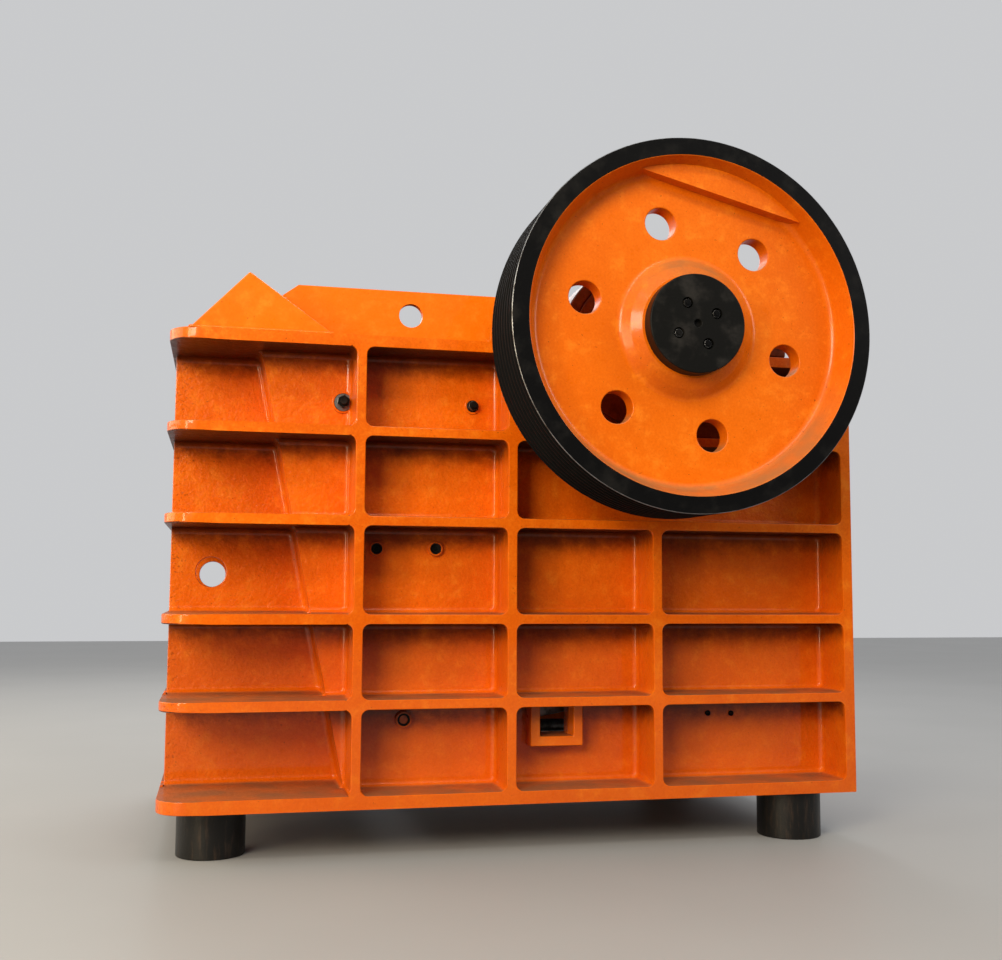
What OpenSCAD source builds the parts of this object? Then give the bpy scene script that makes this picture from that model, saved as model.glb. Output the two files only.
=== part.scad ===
// Single-toggle jaw crusher in a ribbed steel frame.
// A grooved, counterweighted pulley and a plain flywheel turn the eccentric shaft.
// X runs from the feed end to the back, -Y is the pulley side, +Z is up.
// The origin is on the floor, in the middle under the machine.

/* [Frame] */
// Length of the frame, front rib edges to back face
frame_len = 2180; // [2000:10:2400]
// Width over the outer faces of the side ribs
frame_w = 1390; // [1300:10:1500]
// Height of the deck above the underside of the base
frame_h = 1407; // [1390:1:1440]
// Depth of the side pockets, rib face to side wall
pocket_depth = 155; // [120:1:180]
// Thickness of the side walls
wall_t = 55; // [40:1:70]
// Thickness of the front wall
front_wall_t = 65; // [50:1:80]
// Thickness of the back wall
back_wall_t = 55; // [40:1:70]
// Distance from the front plane to the front wall at deck level
front_wall_x = 265; // [240:1:300]
// Lean of the front wall from upright, in degrees
front_lean = 11.6; // [10:0.1:13]
// Depth of the pockets in the back face
back_depth = 150; // [140:1:180]

/* [Ribs] */
// Thickness of the shelf and upright ribs
rib_t = 30; // [20:1:40]
// Thickness of the base rib
base_t = 39; // [30:1:50]
// Thickness of the deck rib
deck_t = 35; // [30:1:50]
// Thickness of the upright ribs at the back corners
corner_t = 36; // [30:1:50]
// Underside of the first shelf above the base
shelf_1 = 287; // [270:1:300]
// Underside of the second shelf
shelf_2 = 538; // [520:1:560]
// Underside of the third shelf
shelf_3 = 831; // [810:1:850]
// Front face of the first side upright, from the front plane
upright_x = 550; // [520:1:560]
// Pitch of the side uprights
upright_pitch = 470; // [450:1:490]
// Radius where the shelves turn round the front corners
corner_r = 90; // [60:1:120]
// Fillet where an upright runs into a shelf
rib_fillet = 24; // [10:1:30]
// Outer faces of the two front uprights, from the middle
front_upright_y = 380; // [340:1:400]
// How far the front uprights stop short of the front plane
front_upright_in = 12; // [5:1:30]
// Middle of the two back uprights, from the middle
back_upright_y = 160; // [120:1:200]
// Radius of the tie hole in the front uprights
tie_hole_r = 47; // [35:1:55]
// Distance of the tie hole from the front plane
tie_hole_x = 136; // [125:1:150]
// Height of the tie hole above the base
tie_hole_z = 693; // [680:1:710]
// Gap round the shaft where it passes the side walls
shaft_gap = 35; // [20:1:40]

/* [Feed mouth] */
// Height of the ridge over the front wall
ridge_h = 175; // [150:1:190]
// Front foot of the ridge, from the front plane
ridge_x = 60; // [50:1:80]
// Apex of the ridge, from the front plane
ridge_apex_x = 228; // [210:1:240]
// Length of the ridge's foot
ridge_len = 417; // [400:1:430]
// Thickness of the ridge plates
ridge_t = 22; // [15:1:30]
// Distance of the ridge's ends from the rib face
ridge_in = 6; // [2:1:15]
// Height of the hopper plates above the deck
hopper_h = 181; // [150:1:200]
// Thickness of the hopper plates
hopper_t = 25; // [20:1:30]
// Front end of the hopper plates' top edge, from the front plane
hopper_start = 380; // [360:1:400]
// Height above the deck where the hopper plates leave the ridge's slope
hopper_nose_h = 124; // [110:1:135]
// Back end of the hopper plates, from the front plane
hopper_end = 1320; // [1280:1:1330]
// Radius of the lifting hole in each hopper plate
hopper_hole_r = 38; // [30:1:45]
// Distance of the lifting hole from the front plane
hopper_hole_x = 735; // [700:1:780]
// Height of the lifting hole above the deck
hopper_hole_z = 103; // [90:1:115]

/* [Crushing chamber] */
// Thickness of the fixed jaw plate over its teeth
jaw_plate_t = 90; // [80:1:100]
// Depth of the teeth on the jaw plates
tooth_depth = 30; // [20:1:40]
// Pitch of the teeth
tooth_pitch = 88; // [60:1:100]
// Thickness of the cheek plates
cheek_t = 35; // [25:1:40]
// Side gap of the jaw plates and the swing jaw
side_gap = 10; // [6:1:14]
// Gap between pieces that stand side by side
plate_gap = 2; // [1:0.5:4]
// How far the upper cheek plates reach below the third shelf
cheek_split = 25; // [15:1:40]
// Gap between the upper and the lower cheek plates
cheek_gap = 5; // [3:1:10]
// How far the cheek plates reach past the back of the swing jaw plate
cheek_past = 60; // [40:1:80]
// Front of the swing jaw plate at its top, from the front plane
mouth_x = 1030; // [1000:1:1060]
// Lean of the swing jaw plate from upright, in degrees
swing_lean = 10; // [9:0.1:11]
// Height of the jaw plates' lower ends above the base
jaw_foot = 60; // [50:1:100]
// How far the jaw plates' upper ends lie below the deck
jaw_drop = 57; // [47:1:87]
// Wall of the swing jaw's barrel round the eccentric
barrel_wall = 105; // [80:1:110]
// Depth of the swing jaw's toe behind its plate
toe_depth = 150; // [120:1:160]
// Crown of the swing jaw, behind its plate's upper end
crown_x = 120; // [100:1:140]
// Crown of the swing jaw, above its plate's upper end
crown_z = 60; // [40:1:70]
// How far the swing jaw's flat faces lie inside its barrel
barrel_in = 20; // [10:1:30]
// Where the swing jaw's back face leaves the barrel, in degrees below level
barrel_turn = 35; // [25:1:45]
// Height of the swing jaw's heel over the toggle's front end
heel_h = 220; // [200:1:240]
// Depth of the swing jaw's heel behind the toggle's front end
heel_x = 60; // [40:1:80]
// Upper end of the swing jaw's back face over the toggle's front end
heel_foot = 110; // [90:1:130]
// Lower end of the swing jaw's back face under the toggle's front end
heel_low = 60; // [50:1:80]

/* [Shaft and bearings] */
// Shaft axis, from the front plane
axis_x = 1478; // [1460:1:1490]
// Shaft axis below the deck surface
axis_drop = 1; // [0:1:5]
// Radius of the shaft in the main bearings
journal_r = 115; // [100:1:120]
// Radius of the shaft in the wheels
seat_r = 100; // [90:1:105]
// Radius of the eccentric
eccentric_r = 125; // [118:1:130]
// Throw of the eccentric
throw = 15; // [10:1:18]
// Running gap between the turning eccentric and the swing jaw
eccentric_gap = 6; // [5:1:8]
// Radial clearance of the shaft in its bearings
bearing_gap = 0.05; // [0.02:0.01:0.08]
// Outer radius of the bearing housings
housing_r = 255; // [235:1:260]
// Gap between the side walls and the bearing housings
housing_gap = 5; // [2:1:8]
// Thickness of the saddles under the bearing housings
saddle_floor = 20; // [15:1:30]
// Width of the bearing housings
housing_w = 145; // [130:1:148]
// Thickness of the bearing caps over the housings
cap_t = 38; // [30:1:45]
// Half length of the bearing caps' feet
cap_foot = 480; // [460:1:500]
// Thickness of the bearing caps' feet
cap_foot_t = 60; // [40:1:70]
// Half length of the bearing saddles
saddle_half = 310; // [300:1:330]

/* [Wheels] */
// Radius of the wheels
wheel_r = 548; // [500:1:560]
// Width of the wheels' rims
rim_w = 250; // [248:1:270]
// Thickness of the rims at the front ring
rim_t = 52; // [40:1:60]
// Gap from the rib face to the back of the rims
wheel_gap = 152; // [100:1:160]
// Depth of the web behind the rim's front face
web_in = 82; // [70:1:90]
// Thickness of the web
web_t = 60; // [50:1:70]
// Depth of the hub's front face behind the rim's front face
hub_in = 41; // [35:1:45]
// Radius of the hub's front face
hub_r = 152; // [148:1:160]
// Radius of the hub where it meets the web
hub_foot_r = 210; // [200:1:230]
// Width of the hub's flat foot
hub_foot_w = 25; // [15:1:30]
// Width of the bevel at the hub's front edge
hub_edge = 22; // [15:1:25]
// Gap between the bearing housings and the wheels' hubs
hub_gap = 10; // [5:1:15]
// Draft of the rim's inner face, from its front to the web
rim_draft = 26; // [15:1:30]
// Width of the fillet at the web
web_fillet = 8; // [5:1:12]
// Draft of the hub and rim behind the web
back_draft = 20; // [10:1:24]
// Radius of the web holes
web_hole_r = 48; // [40:1:52]
// Pitch radius of the web holes
web_hole_pitch_r = 321; // [310:1:330]
// Angle from the counterweight's direction to the web holes beside it
web_hole_turn = 28; // [25:1:35]
// Distance of the counterweight's straight edge from the axis
weight_chord = 409; // [395:1:430]
// Direction of the counterweight, in degrees
weight_turn = 76; // [60:1:80]
// Belt grooves in the pulley
grooves = 8; // [6:1:8]
// Pitch of the belt grooves
groove_pitch = 31; // [29:1:31]
// Depth of the belt grooves
groove_depth = 24; // [20:1:28]
// Width of the belt grooves at the tread
groove_mouth = 22; // [20:1:23]
// Width of the belt grooves at the bottom
groove_floor = 8; // [6:1:10]
// Radius of the end caps
end_cap_r = 145; // [120:1:146]
// Thickness of the end caps
end_cap_t = 47; // [40:1:70]

/* [Toggle and tension rods] */
// Thickness of the toggle plate
toggle_t = 70; // [50:1:80]
// Width of the toggle plate
toggle_w = 760; // [700:10:800]
// Height of the toggle's front end above the base
toggle_front_z = 245; // [235:1:255]
// Height of the toggle's back end above the base
toggle_back_z = 340; // [320:1:350]
// Front end of the toggle, from the front plane
toggle_front_x = 1170; // [1160:1:1180]
// Length of the adjusting block
block_len = 200; // [180:1:220]
// Half the height of the adjusting block
block_half = 130; // [120:1:140]
// Thickness of the shims behind the adjusting block
shim_t = 75; // [60:1:90]
// How far the shims stay inside the adjusting block's edges
shim_in = 10; // [5:1:20]
// Radius of the tension rods
rod_r = 24; // [18:1:28]
// Height of the tension rods above the base
rod_z = 120; // [110:1:130]
// Distance of the tension rods from the middle
rod_y = 280; // [250:1:300]
// Outer radius of the tension springs
spring_r = 52; // [45:1:60]
// Length of the tension springs
spring_len = 88; // [70:1:95]
// Gap between the tension rods and the back wall
rod_gap = 6; // [5:1:10]
// Gap between the tension rods and their springs
spring_gap = 4; // [3:1:6]
// Thickness of the washers behind the springs
washer_t = 12; // [8:1:14]
// Thickness of the nuts on the tension rods
nut_t = 28; // [20:1:30]
// Radius of the nuts over their corners
nut_r = 40; // [36:1:44]
// How far the tension rods stand out of their nuts
rod_end = 5; // [2:1:8]

/* [Side windows and feet] */
// Width of the window opening
window_w = 108; // [90:1:120]
// Height of the window opening
window_h = 100; // [80:1:100]
// Width of the frame round the window
window_rim = 31; // [25:1:35]
// Middle of the window, from the front plane
window_x = 1203; // [1180:1:1220]
// Lower edge of the window opening above the base
window_z = 187; // [180:1:187]
// How far the window's frame stands out of the side wall
window_out = 60; // [40:1:80]
// Radius of the support blocks
block_r = 102; // [90:1:110]
// Height of the support blocks
block_h = 150; // [120:5:180]
// Front support blocks, from the front plane
front_block_x = 157; // [150:1:170]
// Front support blocks, from the rib face of their side
front_block_side = 212; // [195:1:225]
// Back support blocks, from the back of the frame
back_block_in = 176; // [150:1:190]
// Back support blocks, from the rib face of their side
back_block_side = 132; // [115:1:145]

/* [Hidden] */
$fn = 64;
orange = [0.95, 0.42, 0.03];
black = [0.09, 0.09, 0.1];
steel = [0.55, 0.55, 0.56];
manganese = [0.36, 0.35, 0.34];
block_brown = [0.16, 0.14, 0.13];

rib_y = frame_w / 2;
wall_out = rib_y - pocket_depth;
wall_in = wall_out - wall_t;
cheek_in = wall_in - cheek_t;
jaw_half = cheek_in - side_gap;
back_wall_x = frame_len - back_depth;
back_block_x = frame_len - back_block_in;
back_wall_in = back_wall_x - back_wall_t;
axis_z = frame_h - axis_drop;
jaw_top = frame_h - jaw_drop;
// Underside of the fourth shelf, which carries the bearing saddles
shelf_4 = axis_z - housing_r - saddle_floor - rib_t;
toggle_back_x = back_wall_in - shim_t - block_len;
shelves = [shelf_1, shelf_2, shelf_3, shelf_4];
row_floor = [base_t, shelf_1 + rib_t, shelf_2 + rib_t, shelf_3 + rib_t, shelf_4 + rib_t];
row_top = [shelf_1, shelf_2, shelf_3, shelf_4, frame_h - deck_t];
uprights = [upright_x, upright_x + upright_pitch, upright_x + 2 * upright_pitch];
// Rows that the third upright crosses, the wheel's bay above is left wide
short_upright_rows = 3;

// Side position of the wheels, from the middle
wheel_back_y = rib_y + wheel_gap;
wheel_front_y = wheel_back_y + rim_w;
web_front_y = wheel_front_y - web_in;
web_back_y = web_front_y - web_t;
hub_front_y = wheel_front_y - hub_in;
housing_y0 = wall_out + housing_gap;
housing_y1 = housing_y0 + housing_w;
hub_back_y = housing_y1 + hub_gap;
// Gap of pieces that seat in each other but don't turn
seat_gap = 0.3;

// Line of the front wall's outer face: x at a height
function front_x(z) = front_wall_x + (frame_h - z) * tan(front_lean);
// The front wall's inner face
function front_in_x(z) = front_x(z) + front_wall_t / cos(front_lean);
// The swing jaw plate's face and its back
function swing_face_x(z) = mouth_x - (jaw_top - z) * tan(swing_lean);
function swing_back_x(z) = swing_face_x(z) + jaw_plate_t / cos(swing_lean);
// Where the tension rods end in the swing jaw's toe
rod_start = swing_back_x(jaw_foot) + toe_depth;

// From the frame's own corner to the part's origin
module placed() {
    translate([-frame_len / 2, 0, block_h]) children();
}

// An outline drawn in x and z, made solid from y0 to y1
module slab(y0, y1) {
    translate([0, y1, 0]) rotate([90, 0, 0]) linear_extrude(y1 - y0) children();
}

// Shapes are drawn on the far side and mirrored to the near one
module on_side(far) {
    mirror([0, far ? 0 : 1, 0]) children();
}

// The same shape on both sides
module both_sides() {
    for (far = [false, true]) on_side(far) children();
}

// A turned shape round the shaft axis, its profile in radius and y
module turned() {
    translate([axis_x, 0, axis_z]) rotate([-90, 0, 0]) rotate_extrude($fn = 128) children();
}

// A cylinder along y round the shaft axis
module axis_round(r, y0, y1) {
    translate([axis_x, y0, axis_z]) rotate([-90, 0, 0]) cylinder(r = r, h = y1 - y0, $fn = 128);
}

// A cylinder along y at x and z
module cross_round(x, z, r, y0, y1) {
    translate([x, y0, z]) rotate([-90, 0, 0]) cylinder(r = r, h = y1 - y0);
}

// Side walls, with a half round gap for the shaft and the window opening
module side_wall(far) {
    color(orange) placed() on_side(far) difference() {
        slab(wall_in, wall_out) polygon([
            [front_x(0), 0], [frame_len, 0], [frame_len, frame_h], [front_x(frame_h), frame_h]
        ]);
        axis_round(journal_r + shaft_gap, wall_in - 1, wall_out + 1);
        translate([window_x - window_w / 2, wall_in - 1, window_z])
            cube([window_w, wall_t + 2, window_h]);
    }
}

// Front wall, leaning with its top towards the feed end
module front_wall() {
    color(orange) placed() slab(-wall_in, wall_in) polygon([
        [front_x(0), 0], [front_in_x(0), 0], [front_in_x(frame_h), frame_h], [front_x(frame_h), frame_h]
    ]);
}

// Back wall between the side walls
module back_wall() {
    color(orange) placed() difference() {
        translate([back_wall_in, -wall_in, 0]) cube([back_wall_t, 2 * wall_in, shelf_4 + rib_t]);
        for (side = [-1, 1])
            translate([back_wall_in - 1, side * rod_y, rod_z]) rotate([0, 90, 0])
                cylinder(r = rod_r + rod_gap, h = back_wall_t + 2);
    }
}

// One horizontal rib along a side wall
module side_shelf(x0, x1, z, t) {
    slab(wall_out, rib_y) polygon([
        [max(x0, front_x(z)), z], [x1, z], [x1, z + t], [max(x0, front_x(z + t)), z + t]
    ]);
}

// Horizontal ribs of one side, the deck rib stops at the bearing saddle
module shelf_ribs(far) {
    color(orange) placed() on_side(far) {
        side_shelf(0, frame_len, 0, base_t);
        for (z = shelves) side_shelf(0, frame_len, z, rib_t);
        side_shelf(0, axis_x - saddle_half, frame_h - deck_t, deck_t);
        side_shelf(axis_x + saddle_half, frame_len, frame_h - deck_t, deck_t);
    }
}

// Outline of an upright in x and z, flared where it runs into the shelves
module upright_outline(x, t, z0, z1, left, right) {
    f = rib_fillet;
    difference() {
        translate([x - (left ? f : 0), z0]) square([t + (left ? f : 0) + (right ? f : 0), z1 - z0]);
        if (left) pocket_cut(x - f, z0, z1, f);
        if (right) pocket_cut(x + t + f, z0, z1, f);
    }
}

// The round-cornered pocket edge beside an upright
module pocket_cut(x, z0, z1, f) {
    for (z = [z0 + f, z1 - f]) translate([x, z]) circle(r = f, $fn = 32);
    translate([x - f, z0 + f]) square([2 * f, z1 - z0 - 2 * f]);
}

// Upright ribs of one side, cut into a length for each row of pockets
module upright_ribs(far) {
    color(orange) placed() on_side(far) slab(wall_out, rib_y) {
        for (row = [0 : 4]) {
            for (i = [0 : 1])
                upright_outline(uprights[i], rib_t, row_floor[row], row_top[row], true, true);
            if (row < short_upright_rows)
                upright_outline(uprights[2], rib_t, row_floor[row], row_top[row], true, true);
            upright_outline(frame_len - corner_t, corner_t, row_floor[row], row_top[row], true, false);
        }
    }
}

// Outline of the front shelves from above, with round corners
module front_outline() {
    difference() {
        translate([0, -rib_y]) square([front_x(0) + 10, frame_w]);
        for (side = [-1, 1]) difference() {
            translate([-1, side * (rib_y - corner_r / 2 + 0.5) - corner_r / 2 - 0.5])
                square([corner_r + 1, corner_r + 1]);
            translate([corner_r, side * (rib_y - corner_r)]) circle(r = corner_r);
        }
    }
}

// One horizontal rib in front of the front wall
module front_shelf(z, t) {
    intersection() {
        translate([0, 0, z]) linear_extrude(t) front_outline();
        slab(-rib_y, rib_y) polygon([
            [-1, z], [front_x(z), z], [front_x(z + t), z + t], [-1, z + t]
        ]);
    }
}

// Horizontal ribs across the front, turned round both corners
module front_shelf_ribs() {
    color(orange) placed() {
        front_shelf(0, base_t);
        for (z = shelves) front_shelf(z, rib_t);
        front_shelf(frame_h - deck_t, deck_t);
    }
}

// Upright ribs in front of the front wall, with the tie hole
module front_upright_ribs() {
    color(orange) placed() both_sides() difference() {
        slab(front_upright_y - rib_t, front_upright_y) for (row = [0 : 4])
            polygon([
                [front_upright_in, row_floor[row]], [front_x(row_floor[row]), row_floor[row]],
                [front_x(row_top[row]), row_top[row]], [front_upright_in, row_top[row]]
            ]);
        cross_round(tie_hole_x, tie_hole_z, tie_hole_r, front_upright_y - rib_t - 1, front_upright_y + 1);
    }
}

// Horizontal ribs on the back wall
module back_shelf_ribs() {
    color(orange) placed() {
        for (z = shelves)
            translate([back_wall_x, -wall_in, z]) cube([back_depth, 2 * wall_in, rib_t]);
        translate([back_wall_x, -wall_in, 0]) cube([back_depth, 2 * wall_in, base_t]);
    }
}

// Upright ribs on the back wall
module back_upright_ribs() {
    color(orange) placed() for (side = [-1, 1], row = [0 : 3])
        translate([back_wall_x, side * back_upright_y - rib_t / 2, row_floor[row]])
            cube([back_depth, rib_t, row_top[row] - row_floor[row]]);
}

// Outline of the ridge in x and z
module ridge_outline() {
    polygon([[ridge_x, frame_h], [ridge_x + ridge_len, frame_h], [ridge_apex_x, frame_h + ridge_h]]);
}

// The ridge over the front wall, two sloping plates in one
module feed_ridge() {
    front_slope = atan(ridge_h / (ridge_apex_x - ridge_x));
    back_slope = atan(ridge_h / (ridge_x + ridge_len - ridge_apex_x));
    x0 = ridge_x + ridge_t / sin(front_slope);
    x1 = ridge_x + ridge_len - ridge_t / sin(back_slope);
    apex_x = (x0 * tan(front_slope) + x1 * tan(back_slope)) / (tan(front_slope) + tan(back_slope));
    half = rib_y - ridge_in - ridge_t;
    color(orange) placed() slab(-half, half) polygon([
        [ridge_x, frame_h], [x0, frame_h], [apex_x, frame_h + (apex_x - x0) * tan(front_slope)],
        [x1, frame_h], [ridge_x + ridge_len, frame_h], [ridge_apex_x, frame_h + ridge_h]
    ]);
}

// Plates that close the ridge's ends
module ridge_end_plates() {
    color(orange) placed() both_sides()
        slab(rib_y - ridge_in - ridge_t, rib_y - ridge_in) ridge_outline();
}

// Plates beside the feed mouth, standing on the side walls
module hopper_plate(far) {
    slope = atan(ridge_h / (ridge_x + ridge_len - ridge_apex_x));
    top = frame_h + hopper_h;
    foot = ridge_x + ridge_len + plate_gap;
    color(orange) placed() on_side(far) difference() {
        slab(wall_out - hopper_t, wall_out) polygon([
            [foot, frame_h], [hopper_end, frame_h], [hopper_end, top], [hopper_start, top],
            [foot - hopper_nose_h / tan(slope), frame_h + hopper_nose_h]
        ]);
        cross_round(hopper_hole_x, frame_h + hopper_hole_z, hopper_hole_r,
            wall_out - hopper_t - 1, wall_out + 1);
    }
}

// Saddle under a bearing, between the fourth shelf and the deck
module bearing_saddle(far) {
    color(orange) placed() on_side(far) difference() {
        translate([axis_x - saddle_half, wall_out, shelf_4 + rib_t])
            cube([2 * saddle_half, housing_y1 - wall_out, frame_h - shelf_4 - rib_t]);
        axis_round(housing_r, wall_out - 1, rib_y + 1);
    }
}

// Ring round the main bearing
module bearing_housing(far) {
    color(orange) placed() on_side(far) difference() {
        axis_round(housing_r - 0.2, housing_y0, housing_y1);
        axis_round(journal_r + bearing_gap, housing_y0 - 1, housing_y1 + 1);
    }
}

// Cap over the housing, with a foot each way along the deck
module bearing_cap(far) {
    color(orange) placed() on_side(far) difference() {
        slab(housing_y0, housing_y1) intersection() {
            union() {
                translate([axis_x, axis_z]) circle(r = housing_r + cap_t, $fn = 128);
                translate([axis_x - cap_foot, frame_h]) square([2 * cap_foot, cap_foot_t]);
            }
            translate([axis_x - cap_foot, frame_h]) square([2 * cap_foot, 2 * housing_r]);
        }
        axis_round(housing_r, housing_y0 - 1, housing_y1 + 1);
    }
}

// Saw-tooth outline along y, teeth pointing to +x from the plate's back at 0
module jaw_teeth_outline(half) {
    count = floor(2 * half / tooth_pitch);
    edge = half - count * tooth_pitch / 2;
    points = [for (i = [0 : count - 1], p = [0 : 1])
        [p == 0 ? jaw_plate_t - tooth_depth : jaw_plate_t, -half + edge + (i + p / 2) * tooth_pitch]];
    polygon(concat(
        [[0, -half], [jaw_plate_t - tooth_depth, -half]], points,
        [[jaw_plate_t - tooth_depth, half - edge], [jaw_plate_t - tooth_depth, half], [0, half]]
    ));
}

// Fixed jaw plate on the front wall
module fixed_jaw_plate() {
    len = (jaw_top - jaw_foot) / cos(front_lean);
    color(manganese) placed() translate([front_in_x(jaw_foot), 0, jaw_foot]) rotate([0, -front_lean, 0])
        linear_extrude(len) jaw_teeth_outline(cheek_in - plate_gap);
}

// Swing jaw plate, its teeth face the fixed one
module swing_jaw_plate() {
    len = (jaw_top - jaw_foot) / cos(swing_lean);
    color(manganese) placed() translate([swing_back_x(jaw_foot), 0, jaw_foot]) rotate([0, swing_lean, 0])
        mirror([1, 0, 0]) linear_extrude(len) jaw_teeth_outline(jaw_half);
}

// Lining on both side walls, above and below the third shelf
module cheek_outline(z0, z1) {
    polygon([
        [front_in_x(z0) + plate_gap, z0], [swing_back_x(z0) + cheek_past, z0],
        [swing_back_x(z1) + cheek_past, z1], [front_in_x(z1) + plate_gap, z1]
    ]);
}

module upper_cheek_plates() {
    color(manganese) placed() both_sides()
        slab(cheek_in, wall_in) cheek_outline(shelf_3 - cheek_split, jaw_top);
}

module lower_cheek_plates() {
    color(manganese) placed() both_sides()
        slab(cheek_in, wall_in) cheek_outline(jaw_foot, shelf_3 - cheek_split - cheek_gap);
}

// Swing jaw, hung on the eccentric, with a groove for the toggle plate
module swing_jaw() {
    bore_r = eccentric_r + throw + eccentric_gap;
    barrel_r = bore_r + barrel_wall;
    flat_r = barrel_r - barrel_in;
    color(orange) placed() difference() {
        union() {
            axis_round(barrel_r, -jaw_half, jaw_half);
            slab(-jaw_half, jaw_half) polygon([
                [swing_back_x(jaw_foot), jaw_foot], [swing_back_x(jaw_top), jaw_top],
                [swing_back_x(jaw_top) + crown_x, jaw_top + crown_z], [axis_x, axis_z + flat_r],
                [axis_x, axis_z], [axis_x + flat_r * cos(barrel_turn), axis_z - flat_r * sin(barrel_turn)],
                [toggle_front_x + heel_x, toggle_front_z + heel_h],
                [toggle_front_x, toggle_front_z + heel_foot],
                [toggle_front_x, toggle_front_z - heel_low], [rod_start, jaw_foot]
            ]);
        }
        axis_round(bore_r, -jaw_half - 1, jaw_half + 1);
        cross_round(toggle_front_x, toggle_front_z, toggle_t / 2 + seat_gap, -jaw_half - 1, jaw_half + 1);
        for (side = [-1, 1])
            translate([rod_start - seat_gap, side * rod_y, rod_z]) rotate([0, 90, 0])
                cylinder(r = rod_r + seat_gap, h = toggle_front_x - rod_start);
    }
}

// Toggle plate with round ends
module toggle_plate() {
    run = toggle_back_x - toggle_front_x;
    rise = toggle_back_z - toggle_front_z;
    span = sqrt(run * run + rise * rise);
    color(steel) placed() translate([toggle_front_x, -toggle_w / 2, toggle_front_z])
        rotate([0, -atan(rise / run), 0]) rotate([-90, 0, 0]) {
            cylinder(r = toggle_t / 2, h = toggle_w);
            translate([span, 0, 0]) cylinder(r = toggle_t / 2, h = toggle_w);
            translate([0, -toggle_t / 2 + 8, 0]) cube([span, toggle_t - 16, toggle_w]);
        }
}

// Block that takes the toggle's back end
module adjusting_block() {
    color(orange) placed() difference() {
        translate([toggle_back_x, -wall_in + plate_gap, toggle_back_z - block_half])
            cube([block_len, 2 * (wall_in - plate_gap), 2 * block_half]);
        cross_round(toggle_back_x, toggle_back_z, toggle_t / 2 + seat_gap, -wall_in, wall_in);
    }
}

// Shims between the adjusting block and the back wall
module shim_plates() {
    half_y = wall_in - plate_gap - shim_in;
    half_z = block_half - shim_in;
    color(steel) placed() translate([toggle_back_x + block_len, -half_y, toggle_back_z - half_z])
        cube([shim_t, 2 * half_y, 2 * half_z]);
}

// Rods that draw the swing jaw back against the toggle
module tension_rods() {
    washer_x = back_wall_x + spring_len;
    color(steel) placed() for (side = [-1, 1])
        translate([rod_start, side * rod_y, rod_z]) rotate([0, 90, 0]) {
            cylinder(r = rod_r, h = washer_x + washer_t + nut_t + rod_end - rod_start);
            translate([0, 0, washer_x - rod_start]) cylinder(r = spring_r, h = washer_t);
            translate([0, 0, washer_x + washer_t - rod_start]) cylinder(r = nut_r, h = nut_t, $fn = 6);
        }
}

// Springs on the tension rods, behind the back wall
module tension_springs() {
    color(steel) placed() for (side = [-1, 1])
        translate([back_wall_x, side * rod_y, rod_z]) rotate([0, 90, 0]) difference() {
            cylinder(r = spring_r, h = spring_len);
            translate([0, 0, -1]) cylinder(r = rod_r + spring_gap, h = spring_len + 2);
        }
}

// Square frames round the windows, cut off by the shelf above
module window_frames() {
    outer_w = window_w + 2 * window_rim;
    color(orange) placed() both_sides() difference() {
        translate([window_x - outer_w / 2, wall_out, window_z - window_rim])
            cube([outer_w, window_out, shelf_1 - window_z + window_rim]);
        translate([window_x - window_w / 2, wall_out - 1, window_z])
            cube([window_w, window_out + 2, shelf_1 - window_z + 1]);
    }
}

// Shaft with its eccentric, journals and wheel seats
module eccentric_shaft() {
    shift = [-throw * cos(weight_turn), 0, -throw * sin(weight_turn)];
    ecc_half = jaw_half - 5;
    color(steel) placed() union() {
        axis_round(seat_r, -hub_front_y, hub_front_y);
        axis_round(journal_r, -hub_back_y, hub_back_y);
        translate(shift) axis_round(eccentric_r, -ecc_half, ecc_half);
    }
}

// Profile of a wheel in radius and y
module wheel_profile(grooved) {
    rim_in = wheel_r - rim_t;
    foot_in = rim_in - rim_draft;
    bore = seat_r + bearing_gap;
    difference() {
        polygon([
            [bore, hub_back_y], [hub_r + back_draft / 2, hub_back_y],
            [hub_r + 3 * back_draft / 2, web_back_y], [rim_in - back_draft, web_back_y],
            [rim_in - back_draft / 5, wheel_back_y], [wheel_r, wheel_back_y],
            [wheel_r, wheel_front_y], [rim_in, wheel_front_y], [foot_in, web_front_y + web_fillet],
            [foot_in - web_fillet, web_front_y], [hub_foot_r, web_front_y],
            [hub_foot_r - hub_foot_w, web_front_y + web_fillet], [hub_r + hub_edge, hub_front_y - hub_edge],
            [hub_r, hub_front_y], [bore, hub_front_y]
        ]);
        if (grooved) for (i = [0 : grooves - 1]) {
            y = (wheel_back_y + wheel_front_y) / 2 + (i - (grooves - 1) / 2) * groove_pitch;
            polygon([
                [wheel_r + 1, y - groove_mouth / 2], [wheel_r + 1, y + groove_mouth / 2],
                [wheel_r - groove_depth, y + groove_floor / 2],
                [wheel_r - groove_depth, y - groove_floor / 2]
            ]);
        }
    }
}

// A spoked-hole disc wheel with its counterweight
module wheel(grooved) {
    difference() {
        union() {
            turned() wheel_profile(grooved);
            intersection() {
                axis_round(wheel_r - rim_t, web_front_y - 5, hub_front_y);
                translate([axis_x, 0, axis_z]) rotate([0, -weight_turn, 0])
                    translate([weight_chord, web_front_y - 5, -wheel_r])
                        cube([wheel_r, hub_front_y - web_front_y + 5, 2 * wheel_r]);
            }
        }
        for (half = [0, 180], off = [-web_hole_turn, web_hole_turn, 90]) {
            a = weight_turn + half + off;
            cross_round(axis_x + web_hole_pitch_r * cos(a), axis_z + web_hole_pitch_r * sin(a),
                web_hole_r, web_back_y - 1, web_front_y + 1);
        }
    }
}

module pulley_wheel() {
    color(orange) placed() on_side(false) wheel(true);
}

module flywheel() {
    color(orange) placed() on_side(true) wheel(false);
}

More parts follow.
